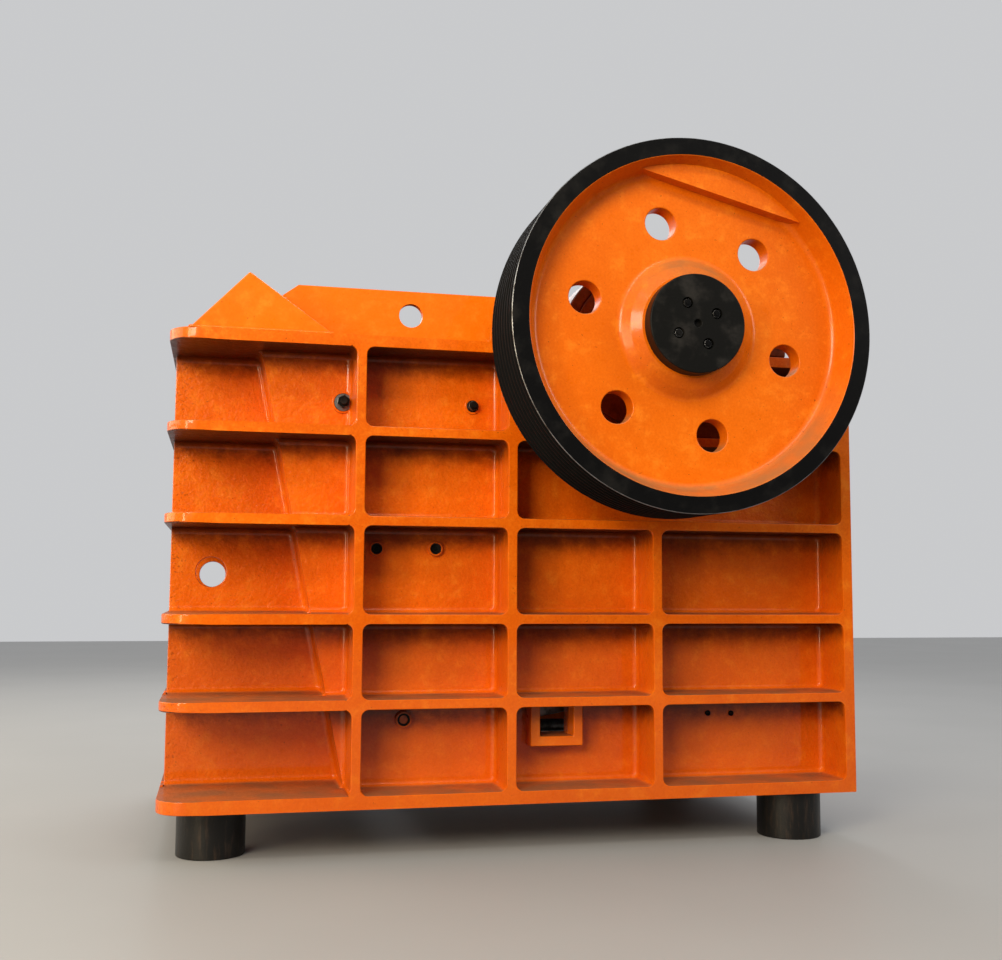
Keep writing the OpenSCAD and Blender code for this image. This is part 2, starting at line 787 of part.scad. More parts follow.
// Disc that holds a wheel on the shaft
module end_cap(far) {
    color(black) placed() on_side(far) axis_round(end_cap_r, hub_front_y, hub_front_y + end_cap_t);
}

// Round block under a corner of the frame
module support_block(x, side_in, far) {
    y = (rib_y - side_in) * (far ? 1 : -1);
    color(block_brown) translate([x - frame_len / 2, y, 0]) cylinder(r = block_r, h = block_h);
}

side_wall(false);  // near_side_wall
side_wall(true);  // far_side_wall
front_wall();
back_wall();
shelf_ribs(false);  // near_shelf_ribs
shelf_ribs(true);  // far_shelf_ribs
upright_ribs(false);  // near_upright_ribs
upright_ribs(true);  // far_upright_ribs
front_shelf_ribs();
front_upright_ribs();
back_shelf_ribs();
back_upright_ribs();
feed_ridge();
ridge_end_plates();
hopper_plate(false);  // near_hopper_plate
hopper_plate(true);  // far_hopper_plate
bearing_saddle(false);  // near_bearing_saddle
bearing_saddle(true);  // far_bearing_saddle
bearing_housing(false);  // near_bearing_housing
bearing_housing(true);  // far_bearing_housing
bearing_cap(false);  // near_bearing_cap
bearing_cap(true);  // far_bearing_cap
fixed_jaw_plate();
upper_cheek_plates();
lower_cheek_plates();
swing_jaw();
swing_jaw_plate();
toggle_plate();
adjusting_block();
shim_plates();
tension_rods();
tension_springs();
window_frames();
eccentric_shaft();
pulley_wheel();
flywheel();
end_cap(false);  // near_end_cap
end_cap(true);  // far_end_cap
support_block(front_block_x, front_block_side, false);  // front_near_block
support_block(front_block_x, front_block_side, true);  // front_far_block
support_block(back_block_x, back_block_side, false);  // back_near_block
support_block(back_block_x, back_block_side, true);  // back_far_block
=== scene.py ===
"""Looks of a single-toggle jaw crusher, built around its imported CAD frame.

Lengths are in metres. Most sizes are given as on the drawing of the machine's frame: x from the front
plane, z from the underside of the base, and y from the middle. The Datum class turns them into the part's
own frame, whose origin is on the floor under the middle of the machine.
"""

from __future__ import annotations

import logging
import math
from dataclasses import dataclass, field, replace
from enum import Enum
from typing import Callable, Sequence

import bmesh
import bpy
from mathutils import Matrix, Vector

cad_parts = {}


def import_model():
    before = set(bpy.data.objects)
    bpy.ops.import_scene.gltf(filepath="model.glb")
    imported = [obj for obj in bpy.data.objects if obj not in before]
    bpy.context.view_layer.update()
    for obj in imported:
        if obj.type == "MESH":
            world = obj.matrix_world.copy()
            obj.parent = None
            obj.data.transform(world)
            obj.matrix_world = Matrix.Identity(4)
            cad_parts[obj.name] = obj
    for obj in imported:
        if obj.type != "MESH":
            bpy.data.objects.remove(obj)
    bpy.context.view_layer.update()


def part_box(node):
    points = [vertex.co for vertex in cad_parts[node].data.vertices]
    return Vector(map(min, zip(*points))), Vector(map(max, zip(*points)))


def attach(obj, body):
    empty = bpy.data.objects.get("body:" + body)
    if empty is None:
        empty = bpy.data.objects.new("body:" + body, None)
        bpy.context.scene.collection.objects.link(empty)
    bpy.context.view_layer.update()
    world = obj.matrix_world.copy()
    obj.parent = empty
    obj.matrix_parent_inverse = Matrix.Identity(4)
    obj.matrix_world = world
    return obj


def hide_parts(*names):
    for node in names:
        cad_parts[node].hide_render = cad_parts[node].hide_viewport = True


log = logging.getLogger("jaw_crusher")

Piece = bpy.types.Object
Material = bpy.types.Material
Socket = bpy.types.NodeSocket
Point = tuple[float, float, float]
Flat = tuple[float, float]
Corner = tuple[float, float, float]
Reach = Callable[[float], float]
EdgeTest = Callable[[Vector, Vector, float], bool]
UP = (0.0, 0.0, 1.0)
ORIGIN = (0.0, 0.0, 0.0)
# Lengths that count as nothing, in metres, and angles over an edge, in degrees.
DOUBLED = 1e-5
CLOSE = 1e-4
NEARLY = 1e-3
SHARP = 40.0
FOLDED = 30.0
STRAIGHT = 88.0


class Side(Enum):
    """The two sides of the machine, by the sign of y."""

    NEAR = -1
    FAR = 1

    @property
    def word(self) -> str:
        """The side's name as node names have it."""
        return self.name.lower()


class Body(Enum):
    """The bodies that pieces ride on."""

    FRAME = "frame"
    ROTOR = "rotor"


class Slot(Enum):
    """The record's material slots."""

    ORANGE = "orange_paint"
    BLACK = "black_paint"
    JAW = "cast_jaw_steel"
    STEEL = "bare_steel"
    BLOCK = "support_block"


@dataclass(frozen=True)
class Datum:
    """Where the drawing's corner lies in the part's own frame."""

    front_x: float
    base_z: float

    @classmethod
    def from_frame(cls) -> Datum:
        """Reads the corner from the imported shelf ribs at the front."""
        low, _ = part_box("front_shelf_ribs")
        return cls(front_x=low.x, base_z=low.z)

    def at(self, x: float, y: float, z: float) -> Point:
        """Turns a point of the drawing into one of the part's frame."""
        return (self.front_x + x, y, self.base_z + z)


# Modelling


def start_clean() -> None:
    """Leaves edit mode and deselects everything."""
    if bpy.context.mode != "OBJECT":
        bpy.ops.object.mode_set(mode="OBJECT")
    bpy.ops.object.select_all(action="DESELECT")


def pick(piece: Piece) -> None:
    """Selects one piece alone and makes it active.

    Args:
        piece: The piece.
    """
    start_clean()
    piece.select_set(True)
    bpy.context.view_layer.objects.active = piece


def edit(piece: Piece, kind: str = "VERT", action: str = "SELECT") -> None:
    """Opens a piece in edit mode.

    Args:
        piece: The piece.
        kind: VERT, EDGE or FACE.
        action: SELECT or DESELECT for all of it.
    """
    pick(piece)
    bpy.ops.object.mode_set(mode="EDIT")
    bpy.ops.mesh.select_mode(type=kind)
    bpy.ops.mesh.select_all(action=action)


def settle(piece: Piece, name: str = "") -> Piece:
    """Puts a piece's place, turn and scale into its mesh, and may rename it.

    Args:
        piece: The piece.
        name: Its new name, if it gets one.

    Returns:
        The same piece.
    """
    pick(piece)
    bpy.ops.object.transform_apply(location=True, rotation=True, scale=True)
    piece.name = name or piece.name
    return piece


def face_outwards(piece: Piece) -> Piece:
    """Merges doubled vertices and points all faces outwards.

    Args:
        piece: The piece.

    Returns:
        The same piece.
    """
    edit(piece)
    bpy.ops.mesh.remove_doubles(threshold=DOUBLED)
    bpy.ops.mesh.normals_make_consistent(inside=False)
    bpy.ops.object.mode_set(mode="OBJECT")
    return piece


def box(name: str, low: Sequence[float], high: Sequence[float]) -> Piece:
    """Adds a box between its lowest and highest corners.

    Args:
        name: Name of the new object.
        low: Lowest corner.
        high: Highest corner.

    Returns:
        The box, with its place in its mesh.
    """
    start_clean()
    bpy.ops.mesh.primitive_cube_add(size=1.0, location=[(a + b) / 2 for a, b in zip(low, high)])
    piece = bpy.context.object
    piece.scale = [b - a for a, b in zip(low, high)]
    return settle(piece, name)


def line(points: Sequence[Sequence[float]]) -> Piece:
    """Draws a line by extruding one vertex from point to point.

    Args:
        points: The line's points in order.

    Returns:
        The new object, left in edit mode.
    """
    start_clean()
    bpy.ops.mesh.primitive_plane_add(size=0.01)
    piece = bpy.context.object
    edit(piece)
    bpy.ops.mesh.merge(type="CENTER")
    bpy.ops.transform.translate(value=points[0])
    for here, there in zip(points, points[1:]):
        step = [b - a for a, b in zip(here, there)]
        bpy.ops.mesh.extrude_region_move(TRANSFORM_OT_translate={"value": step})
    bpy.ops.mesh.select_all(action="SELECT")
    return piece


def plate(name: str, outline: Sequence[Flat], y0: float, y1: float) -> Piece:
    """Makes a closed plate from an outline in x and z.

    Args:
        name: Name of the new object.
        outline: The outline's corners as (x, z).
        y0: One side face.
        y1: The other side face.

    Returns:
        The plate.
    """
    piece = line([(x, y0, z) for x, z in outline])
    bpy.ops.mesh.edge_face_add()
    bpy.ops.mesh.extrude_region_move(TRANSFORM_OT_translate={"value": (0, y1 - y0, 0)})
    return settle(face_outwards(piece), name)


def aimed(at: Sequence[float], along: Sequence[float]) -> Matrix:
    """The matrix that stands a piece on a point, with its z axis along a direction."""
    return Matrix.Translation(at) @ Vector(along).to_track_quat("Z", "Y").to_matrix().to_4x4()


def spun(name: str, profile: Sequence[Flat], base: Point, along: Sequence[float], steps: int) -> Piece:
    """Turns a profile round an axis.

    Args:
        name: Name of the new object.
        profile: Points as (radius, distance along the axis), closed on itself or by the axis.
        base: Where the axis starts.
        along: The axis's direction.
        steps: Faces round the piece.

    Returns:
        The turned piece.
    """
    points = [(radius, 0.0, height) for radius, height in profile]
    on_axis = profile[0][0] == 0 and profile[-1][0] == 0
    piece = line(points if on_axis else points + points[:1])
    bpy.ops.mesh.remove_doubles(threshold=1e-6)
    bpy.ops.mesh.spin(steps=steps, angle=math.tau, center=ORIGIN, axis=UP)
    face_outwards(piece)
    piece.matrix_world = aimed(base, along)
    return settle(piece, name)


def rod(name: str, start: Point, end: Point, radius: float, steps: int = 48) -> Piece:
    """Makes a plain round bar between two points.

    Args:
        name: Name of the new object.
        start: Middle of one end.
        end: Middle of the other end.
        radius: Radius.
        steps: Faces round it.

    Returns:
        The bar.
    """
    along = Vector(end) - Vector(start)
    return spun(name, [(0, 0), (radius, 0), (radius, along.length), (0, along.length)], start, along, steps)


def rounded(corners: Sequence[Corner], steps: int = 4, most: float = 0.49) -> list[Flat]:
    """Rounds the corners of a closed outline.

    Args:
        corners: Corners as (u, v, radius), with 0 for a sharp one.
        steps: Points less one on each rounding.
        most: The share of a side that a rounding may take.

    Returns:
        The outline's points.
    """
    points: list[Flat] = []
    for i, (u, v, radius) in enumerate(corners):
        here = Vector((u, v))
        before = Vector(corners[i - 1][:2]) - here
        after = Vector(corners[(i + 1) % len(corners)][:2]) - here
        half = before.angle(after) / 2
        if radius == 0 or half > math.radians(STRAIGHT):
            points.append((u, v))
            continue
        reach = min(radius / math.tan(half), most * before.length, most * after.length)
        start = here + before.normalized() * reach
        end = here + after.normalized() * reach
        centre = here + (before.normalized() + after.normalized()).normalized() * (reach / math.cos(half))
        for k in range(steps + 1):
            spoke = (start - centre).lerp(end - centre, k / steps).normalized() * (start - centre).length
            points.append(tuple(centre + spoke))
    return points


def round_edges(piece: Piece, wanted: EdgeTest, radius: float, steps: int) -> Piece:
    """Rounds the chosen edges of a piece.

    Args:
        piece: The piece.
        wanted: Says of an edge's two ends and the angle over it in degrees whether to round it.
        radius: Radius of the rounding.
        steps: Faces across the rounding.

    Returns:
        The same piece.
    """
    edit(piece, "EDGE", "DESELECT")
    mesh = bmesh.from_edit_mesh(piece.data)
    found = False
    for edge in mesh.edges:
        angle = math.degrees(edge.calc_face_angle(0.0)) if len(edge.link_faces) == 2 else 0.0
        if wanted(edge.verts[0].co, edge.verts[1].co, angle):
            edge.select_set(True)
            found = True
    bmesh.update_edit_mesh(piece.data)
    if found:
        bpy.ops.mesh.bevel(offset=radius, segments=steps, affect="EDGES", clamp_overlap=False)
    bpy.ops.object.mode_set(mode="OBJECT")
    return piece


def modify(piece: Piece, kind: str, **settings) -> Piece:
    """Adds a modifier, sets it and applies it.

    Args:
        piece: The piece.
        kind: The modifier's type.
        **settings: Its settings.

    Returns:
        The same piece.
    """
    pick(piece)
    bpy.ops.object.modifier_add(type=kind)
    modifier = piece.modifiers[-1]
    for key, value in settings.items():
        setattr(modifier, key, value)
    bpy.ops.object.modifier_apply(modifier=modifier.name)
    return piece


def soften(piece: Piece, radius: float, steps: int = 2, sharper_than: float = FOLDED) -> Piece:
    """Rounds every edge sharper than an angle in degrees."""
    return modify(
        piece,
        "BEVEL",
        width=radius,
        segments=steps,
        limit_method="ANGLE",
        angle_limit=math.radians(sharper_than),
        use_clamp_overlap=True,
    )


def smooth(piece: Piece, angle: float = 32.0) -> Piece:
    """Shades a piece smooth up to an angle in degrees, with flat faces kept flat."""
    pick(piece)
    bpy.ops.object.shade_smooth_by_angle(angle=math.radians(angle))
    return modify(piece, "WEIGHTED_NORMAL", keep_sharp=True)


def join(pieces: Sequence[Piece], name: str) -> Piece:
    """Joins pieces into one object.

    Args:
        pieces: The pieces.
        name: The object's name.

    Returns:
        The joined object, whose first materials are the first piece's.
    """
    start_clean()
    for piece in pieces:
        piece.select_set(True)
    bpy.context.view_layer.objects.active = pieces[0]
    if len(pieces) > 1:
        bpy.ops.object.join()
    joined = bpy.context.view_layer.objects.active
    joined.name = name
    return joined


def carve(piece: Piece, tools: Sequence[Piece], mode: str = "DIFFERENCE") -> Piece:
    """Cuts solids out of a piece, or fuses them to it, and deletes them.

    Args:
        piece: The piece.
        tools: Solids that don't meet each other.
        mode: DIFFERENCE, UNION or INTERSECT.

    Returns:
        The same piece.
    """
    tool = join(tools, "carving_tool")
    modify(piece, "BOOLEAN", operation=mode, solver="EXACT", object=tool)
    bpy.data.objects.remove(tool, do_unlink=True)
    return piece


def copied(piece: Piece, name: str, move: Matrix) -> Piece:
    """Copies a piece with its own mesh.

    Args:
        piece: The piece.
        name: The copy's name.
        move: The matrix that moves the copy's mesh.

    Returns:
        The copy.
    """
    twin = piece.copy()
    twin.data = piece.data.copy()
    twin.name = name
    bpy.context.scene.collection.objects.link(twin)
    twin.data.transform(move)
    return twin


def mirrored(piece: Piece, name: str) -> Piece:
    """Copies a piece to the machine's other side, its faces still pointing outwards."""
    return face_outwards(copied(piece, name, Matrix.Scale(-1, 4, (0, 1, 0))))


def node_copy(node: str, radius: float, steps: int = 2) -> Piece:
    """Copies a CAD node, cleans the copy and rounds its edges.

    Args:
        node: The CAD node.
        radius: Radius of the rounding.
        steps: Faces across it.

    Returns:
        The copy, which doesn't yet stand for the node.
    """
    piece = bpy.data.objects.new(f"{node}_finished", bpy.data.objects[node].data.copy())
    bpy.context.scene.collection.objects.link(piece)
    piece.data.materials.clear()
    edit(piece)
    bpy.ops.mesh.remove_doubles(threshold=2e-5)
    bpy.ops.mesh.dissolve_limited(angle_limit=math.radians(0.5))
    bpy.ops.object.mode_set(mode="OBJECT")
    return soften(piece, radius, steps)


def dress(piece: Piece, *materials: Material) -> Piece:
    """Gives a piece its materials in order.

    Args:
        piece: The piece.
        *materials: The materials.

    Returns:
        The same piece.
    """
    piece.data.materials.clear()
    for material in materials:
        piece.data.materials.append(material)
    return piece


def dress_band(piece: Piece, at: Sequence[float], band: Flat, plain: Material, other: Material) -> Piece:
    """Gives a piece a second material in a band round an axis along y.

    Args:
        piece: The piece.
        at: A point of the axis.
        band: Where the band starts and ends, as distances from the axis.
        plain: Material of the rest.
        other: Material of the band.

    Returns:
        The same piece.
    """
    dress(piece, plain, other)
    for face in piece.data.polygons:
        away = math.hypot(face.center.x - at[0], face.center.z - at[2])
        face.material_index = int(band[0] < away < band[1])
    return piece


def hand_over(piece: Piece, body: Body, slot: Slot, nodes: Sequence[str] = ()) -> Piece:
    """Puts a finished piece on its body and reports it.

    Args:
        piece: The piece.
        body: The body that it rides on.
        slot: The record's slot that its finish belongs to; not used.
        nodes: CAD nodes that it stands for.

    Returns:
        The same piece.
    """
    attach(piece, body.value)
    if nodes:
        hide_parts(*nodes)
    log.info("%s: %d faces on %s", piece.name, len(piece.data.polygons), body.value)
    return piece


# Finishes


def rgb(code: str) -> tuple[float, float, float, float]:
    """Turns an sRGB hex value into linear light.

    Args:
        code: The value, such as #F26E04.

    Returns:
        Red, green and blue, with full opacity.
    """
    levels = [int(code[i : i + 2], 16) / 255 for i in (1, 3, 5)]
    linear = [c / 12.92 if c <= 0.04045 else ((c + 0.055) / 1.055) ** 2.4 for c in levels]
    return (*linear, 1.0)


class Kind(Enum):
    """The kinds of node that the finishes and the world use."""

    OUTPUT = "ShaderNodeOutputMaterial"
    WORLD = "ShaderNodeOutputWorld"
    SKY = "ShaderNodeBackground"
    RAY = "ShaderNodeLightPath"
    SHADER = "ShaderNodeBsdfPrincipled"
    PLACE = "ShaderNodeTexCoord"
    MAPPING = "ShaderNodeMapping"
    NOISE = "ShaderNodeTexNoise"
    RANGE = "ShaderNodeMapRange"
    SUM = "ShaderNodeMath"
    MIX = "ShaderNodeMix"
    SPLIT = "ShaderNodeSeparateXYZ"
    BUMP = "ShaderNodeBump"


class Graph:
    """The nodes of a material or a world, added one by one."""

    def __init__(self, owner: Material | bpy.types.World) -> None:
        """Starts with no nodes.

        Args:
            owner: The material or world.
        """
        owner.use_nodes = True
        self.tree = owner.node_tree
        self.tree.nodes.clear()

    def add(self, kind: Kind, inputs: dict, out: str | int = 0, **settings) -> Socket | None:
        """Adds a node with its settings and links.

        Args:
            kind: The node's kind.
            inputs: Values, or sockets to link from, by input.
            out: The output that is wanted.
            **settings: The node's own settings.

        Returns:
            The wanted output, or None where the node has none.
        """
        node = self.tree.nodes.new(kind.value)
        for key, value in settings.items():
            setattr(node, key, value)
        self.fill(node, inputs)
        return node.outputs[out] if len(node.outputs) else None

    def fill(self, node: bpy.types.Node, inputs: dict) -> None:
        """Sets a node's inputs or links them.

        Args:
            node: The node.
            inputs: Values, or sockets to link from, by input.
        """
        for key, value in inputs.items():
            if isinstance(value, Socket):
                self.tree.links.new(value, node.inputs[key])
            else:
                node.inputs[key].default_value = value


@dataclass(frozen=True)
class Layer:
    """A tint that covers more as a pattern's value goes from none to full."""

    none: float
    full: float
    most: float
    tint: str
    ease: str = "SMOOTHSTEP"


class Recipe(Graph):
    """One material."""

    def __init__(self, name: str) -> None:
        """Starts a material with a shader and its output.

        Args:
            name: Name of the material.
        """
        self.material = bpy.data.materials.new(name)
        super().__init__(self.material)
        self.shader = self.tree.nodes.new(Kind.SHADER.value)
        self.add(Kind.OUTPUT, {"Surface": self.shader.outputs[0]})
        self.place = self.add(Kind.PLACE, {}, out="Object")
        self.normal = self.place.node.outputs["Normal"]

    def lay(self, colour: Socket | tuple, pattern: Socket, layer: Layer) -> Socket:
        """Lays a tint over a colour as a pattern says.

        Args:
            colour: The colour below.
            pattern: The pattern.
            layer: The tint, and the values between which it comes in.

        Returns:
            The new colour.
        """
        share = {0: pattern, 1: layer.none, 2: layer.full, 4: layer.most}
        share = self.add(Kind.RANGE, share, interpolation_type=layer.ease)
        return self.add(Kind.MIX, {0: share, 6: colour, 7: rgb(layer.tint)}, out=2, data_type="RGBA")

    def finish(self, **inputs) -> Material:
        """Fills the shader's inputs, spaces written as underscores, and returns the material."""
        self.fill(self.shader, {key.replace("_", " "): value for key, value in inputs.items()})
        return self.material


def lumps(size_mm: float) -> float:
    """The scale of a noise whose lumps are so many millimetres wide."""
    return 1000.0 / size_mm


@dataclass(frozen=True)
class OrangeEnamel:
    """Alkyd enamel sprayed thick over steel as it was cast or flame cut.

    The gloss shows the skin below as broken highlights. Brown dust lies on every upper face, painted shade
    hangs under each shelf and on faces that look down, and the colour gets darker towards the base.
    """

    name: str = "orange_enamel_on_casting"
    paint: str = "#F26E04"
    deep: str = "#DE5E03"
    pale: str = "#FF921F"
    low: str = "#C44E04"
    speck: str = "#5A2406"
    dust: str = "#84583A"
    dust_least: float = 0.45
    dust_most: float = 0.9
    dust_from: float = 0.7
    dust_all: float = 0.98
    skin: float = 1.0
    wave_deep: float = 0.003
    grain_deep: float = 0.0009
    flat_skin: float = 0.2
    roughness: float = 0.32
    gloss: float = 0.42
    gloss_lying: float = 0.3
    gloss_rough: float = 0.06
    # Painted shade: its tint, and how much of it lies under each shelf and on faces that look down.
    shade_tint: str = "#2C1406"
    shade_tint_most: float = 0.8
    underside_shade_most: float = 0.75
    # Painted shade under each shelf: the shelves' tops, and how far below them it reaches.
    shelf_shade_tops: tuple[float, ...] = ()
    shelf_shade_from: float = 0.115
    shelf_shade_all: float = 0.03
    # The colour gets darker towards the base between these heights.
    base_darkening_from: float = 1.1
    base_darkening_all: float = 0.15
    base_darkening_most: float = 0.5
    pits_to: float = -0.99
    pits_all: float = -1.07
    flat_from: float = 0.680
    flat_all: float = 0.693

    def coat(self, r: Recipe, blotch: Socket, grain: Socket) -> Socket:
        """The paint's own colour, cloudy over a hand's width and mottled where the skin shows through.

        Args:
            r: The material.
            blotch: Blotches some 45 mm wide.
            grain: Grain some 7 mm wide.

        Returns:
            The colour.
        """
        broad = r.add(Kind.NOISE, {"Vector": r.place, "Scale": lumps(380), "Detail": 3.0})
        colour = r.lay(rgb(self.paint), broad, Layer(0.36, 0.66, 0.8, self.deep))
        colour = r.lay(colour, blotch, Layer(0.48, 0.78, 0.55, self.pale))
        colour = r.lay(colour, blotch, Layer(0.5, 0.28, 0.5 * self.skin, self.deep))
        colour = r.lay(colour, grain, Layer(0.5, 0.3, 0.3 * self.skin, self.low, "LINEAR"))
        return r.lay(colour, grain, Layer(0.52, 0.72, 0.25 * self.skin, self.pale, "LINEAR"))

    def pitted(self, r: Recipe, colour: Socket, along: Socket) -> Socket:
        """Adds dark specks, with many more near the front, where knocks broke the paint.

        Args:
            r: The material.
            colour: The colour below.
            along: The place along the machine.

        Returns:
            The new colour.
        """
        specks = r.add(Kind.NOISE, {"Vector": r.place, "Scale": lumps(9), "Detail": 2.0, "Roughness": 0.6})
        corner = r.add(Kind.RANGE, {0: along, 1: self.pits_to, 2: self.pits_all, 4: self.skin})
        pits = r.add(Kind.RANGE, {0: specks, 1: 0.56, 2: 0.7, 4: 0.5}, interpolation_type="SMOOTHSTEP")
        pits = r.add(Kind.SUM, {0: pits, 1: corner}, operation="MULTIPLY")
        specks = r.add(Kind.RANGE, {0: specks, 1: 0.69, 2: 0.77, 4: 0.6}, interpolation_type="SMOOTHSTEP")
        specks = r.add(Kind.SUM, {0: specks, 1: pits}, operation="MAXIMUM")
        return r.add(Kind.MIX, {0: specks, 6: colour, 7: rgb(self.speck)}, out=2, data_type="RGBA")

    def shade_under_shelves(self, r: Recipe, colour: Socket, ragged: Socket, height: Socket, inside: Socket) -> Socket:
        """Adds painted shade on the walls under each shelf, ending in a ragged lower edge.

        Args:
            r: The material.
            colour: The colour below.
            ragged: The height, moved up and down by blotches.
            height: The height.
            inside: 1 in the pockets and 0 on the ribs' outer edges.

        Returns:
            The new colour.
        """
        # Painted shade: darkens the pocket walls just under each shelf.
        for top in self.shelf_shade_tops:
            shelf_shade = {0: ragged, 1: top - self.shelf_shade_from, 2: top - self.shelf_shade_all, 4: self.shade_tint_most}
            shelf_shade = r.add(Kind.RANGE, shelf_shade, interpolation_type="SMOOTHSTEP")
            below = r.add(Kind.SUM, {0: height, 1: top + 0.004}, operation="LESS_THAN")
            shelf_shade = r.add(Kind.SUM, {0: shelf_shade, 1: below}, operation="MULTIPLY")
            shelf_shade = r.add(Kind.SUM, {0: shelf_shade, 1: inside}, operation="MULTIPLY")
            colour = r.add(Kind.MIX, {0: shelf_shade, 6: colour, 7: rgb(self.shade_tint)}, out=2, data_type="RGBA")
        return colour

    def dusty(self, r: Recipe, up: Socket) -> Socket:
        """The share that clouds of dust cover on upper faces.

        Args:
            r: The material.
            up: How far the face looks up.

        Returns:
            The share.
        """
        level = {0: up, 1: self.dust_from, 2: self.dust_all}
        level = r.add(Kind.RANGE, level, interpolation_type="SMOOTHSTEP")
        cloud = r.add(Kind.NOISE, {"Vector": r.place, "Scale": lumps(110), "Detail": 4.0, "Roughness": 0.5})
        cloud = r.add(Kind.RANGE, {0: cloud, 1: 0.3, 2: 0.65, 3: self.dust_least, 4: self.dust_most})
        return r.add(Kind.SUM, {0: level, 1: cloud}, operation="MULTIPLY")

    def build(self) -> Material:
        """Makes the material.

        Returns:
            The material.
        """
        r = Recipe(self.name)
        blotch = r.add(Kind.NOISE, {"Vector": r.place, "Scale": lumps(45), "Detail": 5.0, "Roughness": 0.65})
        grain = r.add(Kind.NOISE, {"Vector": r.place, "Scale": lumps(7), "Detail": 3.0, "Roughness": 0.65})
        place = r.add(Kind.SPLIT, {0: r.place}).node.outputs
        across = r.add(Kind.SUM, {0: place["Y"]}, operation="ABSOLUTE")
        inside = r.add(Kind.RANGE, {0: across, 1: self.flat_from, 2: self.flat_all, 3: 1.0, 4: 0.0})
        up = r.add(Kind.SPLIT, {0: r.normal}, out="Z")
        ragged = r.add(Kind.SUM, {0: blotch, 1: -0.07, 2: place["Z"]}, operation="MULTIPLY_ADD")
        colour = self.pitted(r, self.coat(r, blotch, grain), place["X"])
        # Painted shade: faces that look down are darkened.
        colour = r.lay(colour, up, Layer(-0.3, -0.95, self.underside_shade_most, self.shade_tint, "LINEAR"))
        # The colour gets darker towards the base.
        film = Layer(self.base_darkening_from, self.base_darkening_all, self.base_darkening_most, self.low, "LINEAR")
        colour = r.lay(colour, place["Z"], film)
        # Painted shade on the pocket walls under each shelf.
        colour = self.shade_under_shelves(r, colour, ragged, place["Z"], inside)
        dust = self.dusty(r, up)
        colour = r.add(Kind.MIX, {0: dust, 6: colour, 7: rgb(self.dust)}, out=2, data_type="RGBA")
        # The gloss is duller over blotches and under dust, and weak on faces that lie flat.
        rough = {0: blotch, 1: 0.3, 2: 0.7, 3: self.roughness - 0.06, 4: self.roughness + 0.1}
        rough = r.add(Kind.RANGE, rough)
        rough = r.add(Kind.SUM, {0: dust, 1: 0.45, 2: rough}, operation="MULTIPLY_ADD")
        lying = r.add(Kind.SUM, {0: up}, operation="ABSOLUTE")
        gloss = {0: lying, 1: 0.1, 2: 0.45, 3: self.gloss, 4: self.gloss * self.gloss_lying}
        gloss = r.add(Kind.RANGE, gloss)
        # The cast skin stands out in the pockets and is nearly flat on the ribs' trimmed edges.
        rugged = r.add(Kind.RANGE, {0: inside, 3: self.flat_skin, 4: 1.0})
        wave = r.add(Kind.NOISE, {"Vector": r.place, "Scale": lumps(17), "Detail": 3.0, "Roughness": 0.6})
        deep = self.wave_deep * self.skin
        normal = r.add(Kind.BUMP, {"Strength": rugged, "Distance": deep, "Height": wave})
        deep = self.grain_deep * self.skin
        normal = r.add(Kind.BUMP, {"Strength": rugged, "Distance": deep, "Height": grain, "Normal": normal})
        return r.finish(
            Base_Color=colour, Roughness=rough, Normal=normal, IOR=1.45, Specular_IOR_Level=0.15,
            Coat_Weight=gloss, Coat_Roughness=self.gloss_rough,
        )


@dataclass(frozen=True)
class Patched:
    """What the darker finishes share: a second tone in patches, and a fine relief.

    Patches and relief are a noise's size in mm, its detail and its roughness.
    """

    name: str
    main: str
    other: str
    patches: Corner
    patch_share: Flat
    relief: Corner
    relief_deep: float
    bump: float
    roughness: float
    rougher: float = 0.0
    metallic: float = 0.0
    specular: float = 0.5
    tall: float = 1.0

    def build(self) -> Material:
        """Makes the material.

        Returns:
            The material.
        """
        r = Recipe(self.name)
        place = r.add(Kind.MAPPING, {"Vector": r.place, "Scale": (1.0, 1.0, self.tall)})
        size, detail, rough = self.patches
        patch = {"Vector": place, "Scale": lumps(size), "Detail": detail, "Roughness": rough}
        patch = r.add(Kind.NOISE, patch)
        start, full = self.patch_share
        patch = r.add(Kind.RANGE, {0: patch, 1: start, 2: full}, interpolation_type="SMOOTHSTEP")
        colours = {0: patch, 6: rgb(self.main), 7: rgb(self.other)}
        colour = r.add(Kind.MIX, colours, out=2, data_type="RGBA")
        sheen = self.roughness
        if self.rougher:
            sheen = r.add(Kind.RANGE, {0: patch, 3: self.roughness, 4: self.roughness + self.rougher})
        size, detail, rough = self.relief
        relief = {"Vector": r.place, "Scale": lumps(size), "Detail": detail, "Roughness": rough}
        relief = r.add(Kind.NOISE, relief)
        normal = r.add(Kind.BUMP, {"Strength": self.bump, "Distance": self.relief_deep, "Height": relief})
        return r.finish(
            Base_Color=colour, Metallic=self.metallic, Roughness=sheen, Normal=normal,
            Specular_IOR_Level=self.specular,
        )


@dataclass(frozen=True)
class BlackEnamel(Patched):
    """Black machine enamel brushed on turned iron, a satin gloss rubbed grey in patches."""

    name: str = "black_enamel_on_iron"
    main: str = "#0B0B0C"
    other: str = "#1A1918"
    patches: Corner = (80.0, 4.0, 0.6)
    patch_share: Flat = (0.45, 0.75)
    relief: Corner = (6.0, 3.0, 0.6)
    relief_deep: float = 0.0006
    bump: float = 0.5
    roughness: float = 0.36
    rougher: float = 0.15
    specular: float = 0.1


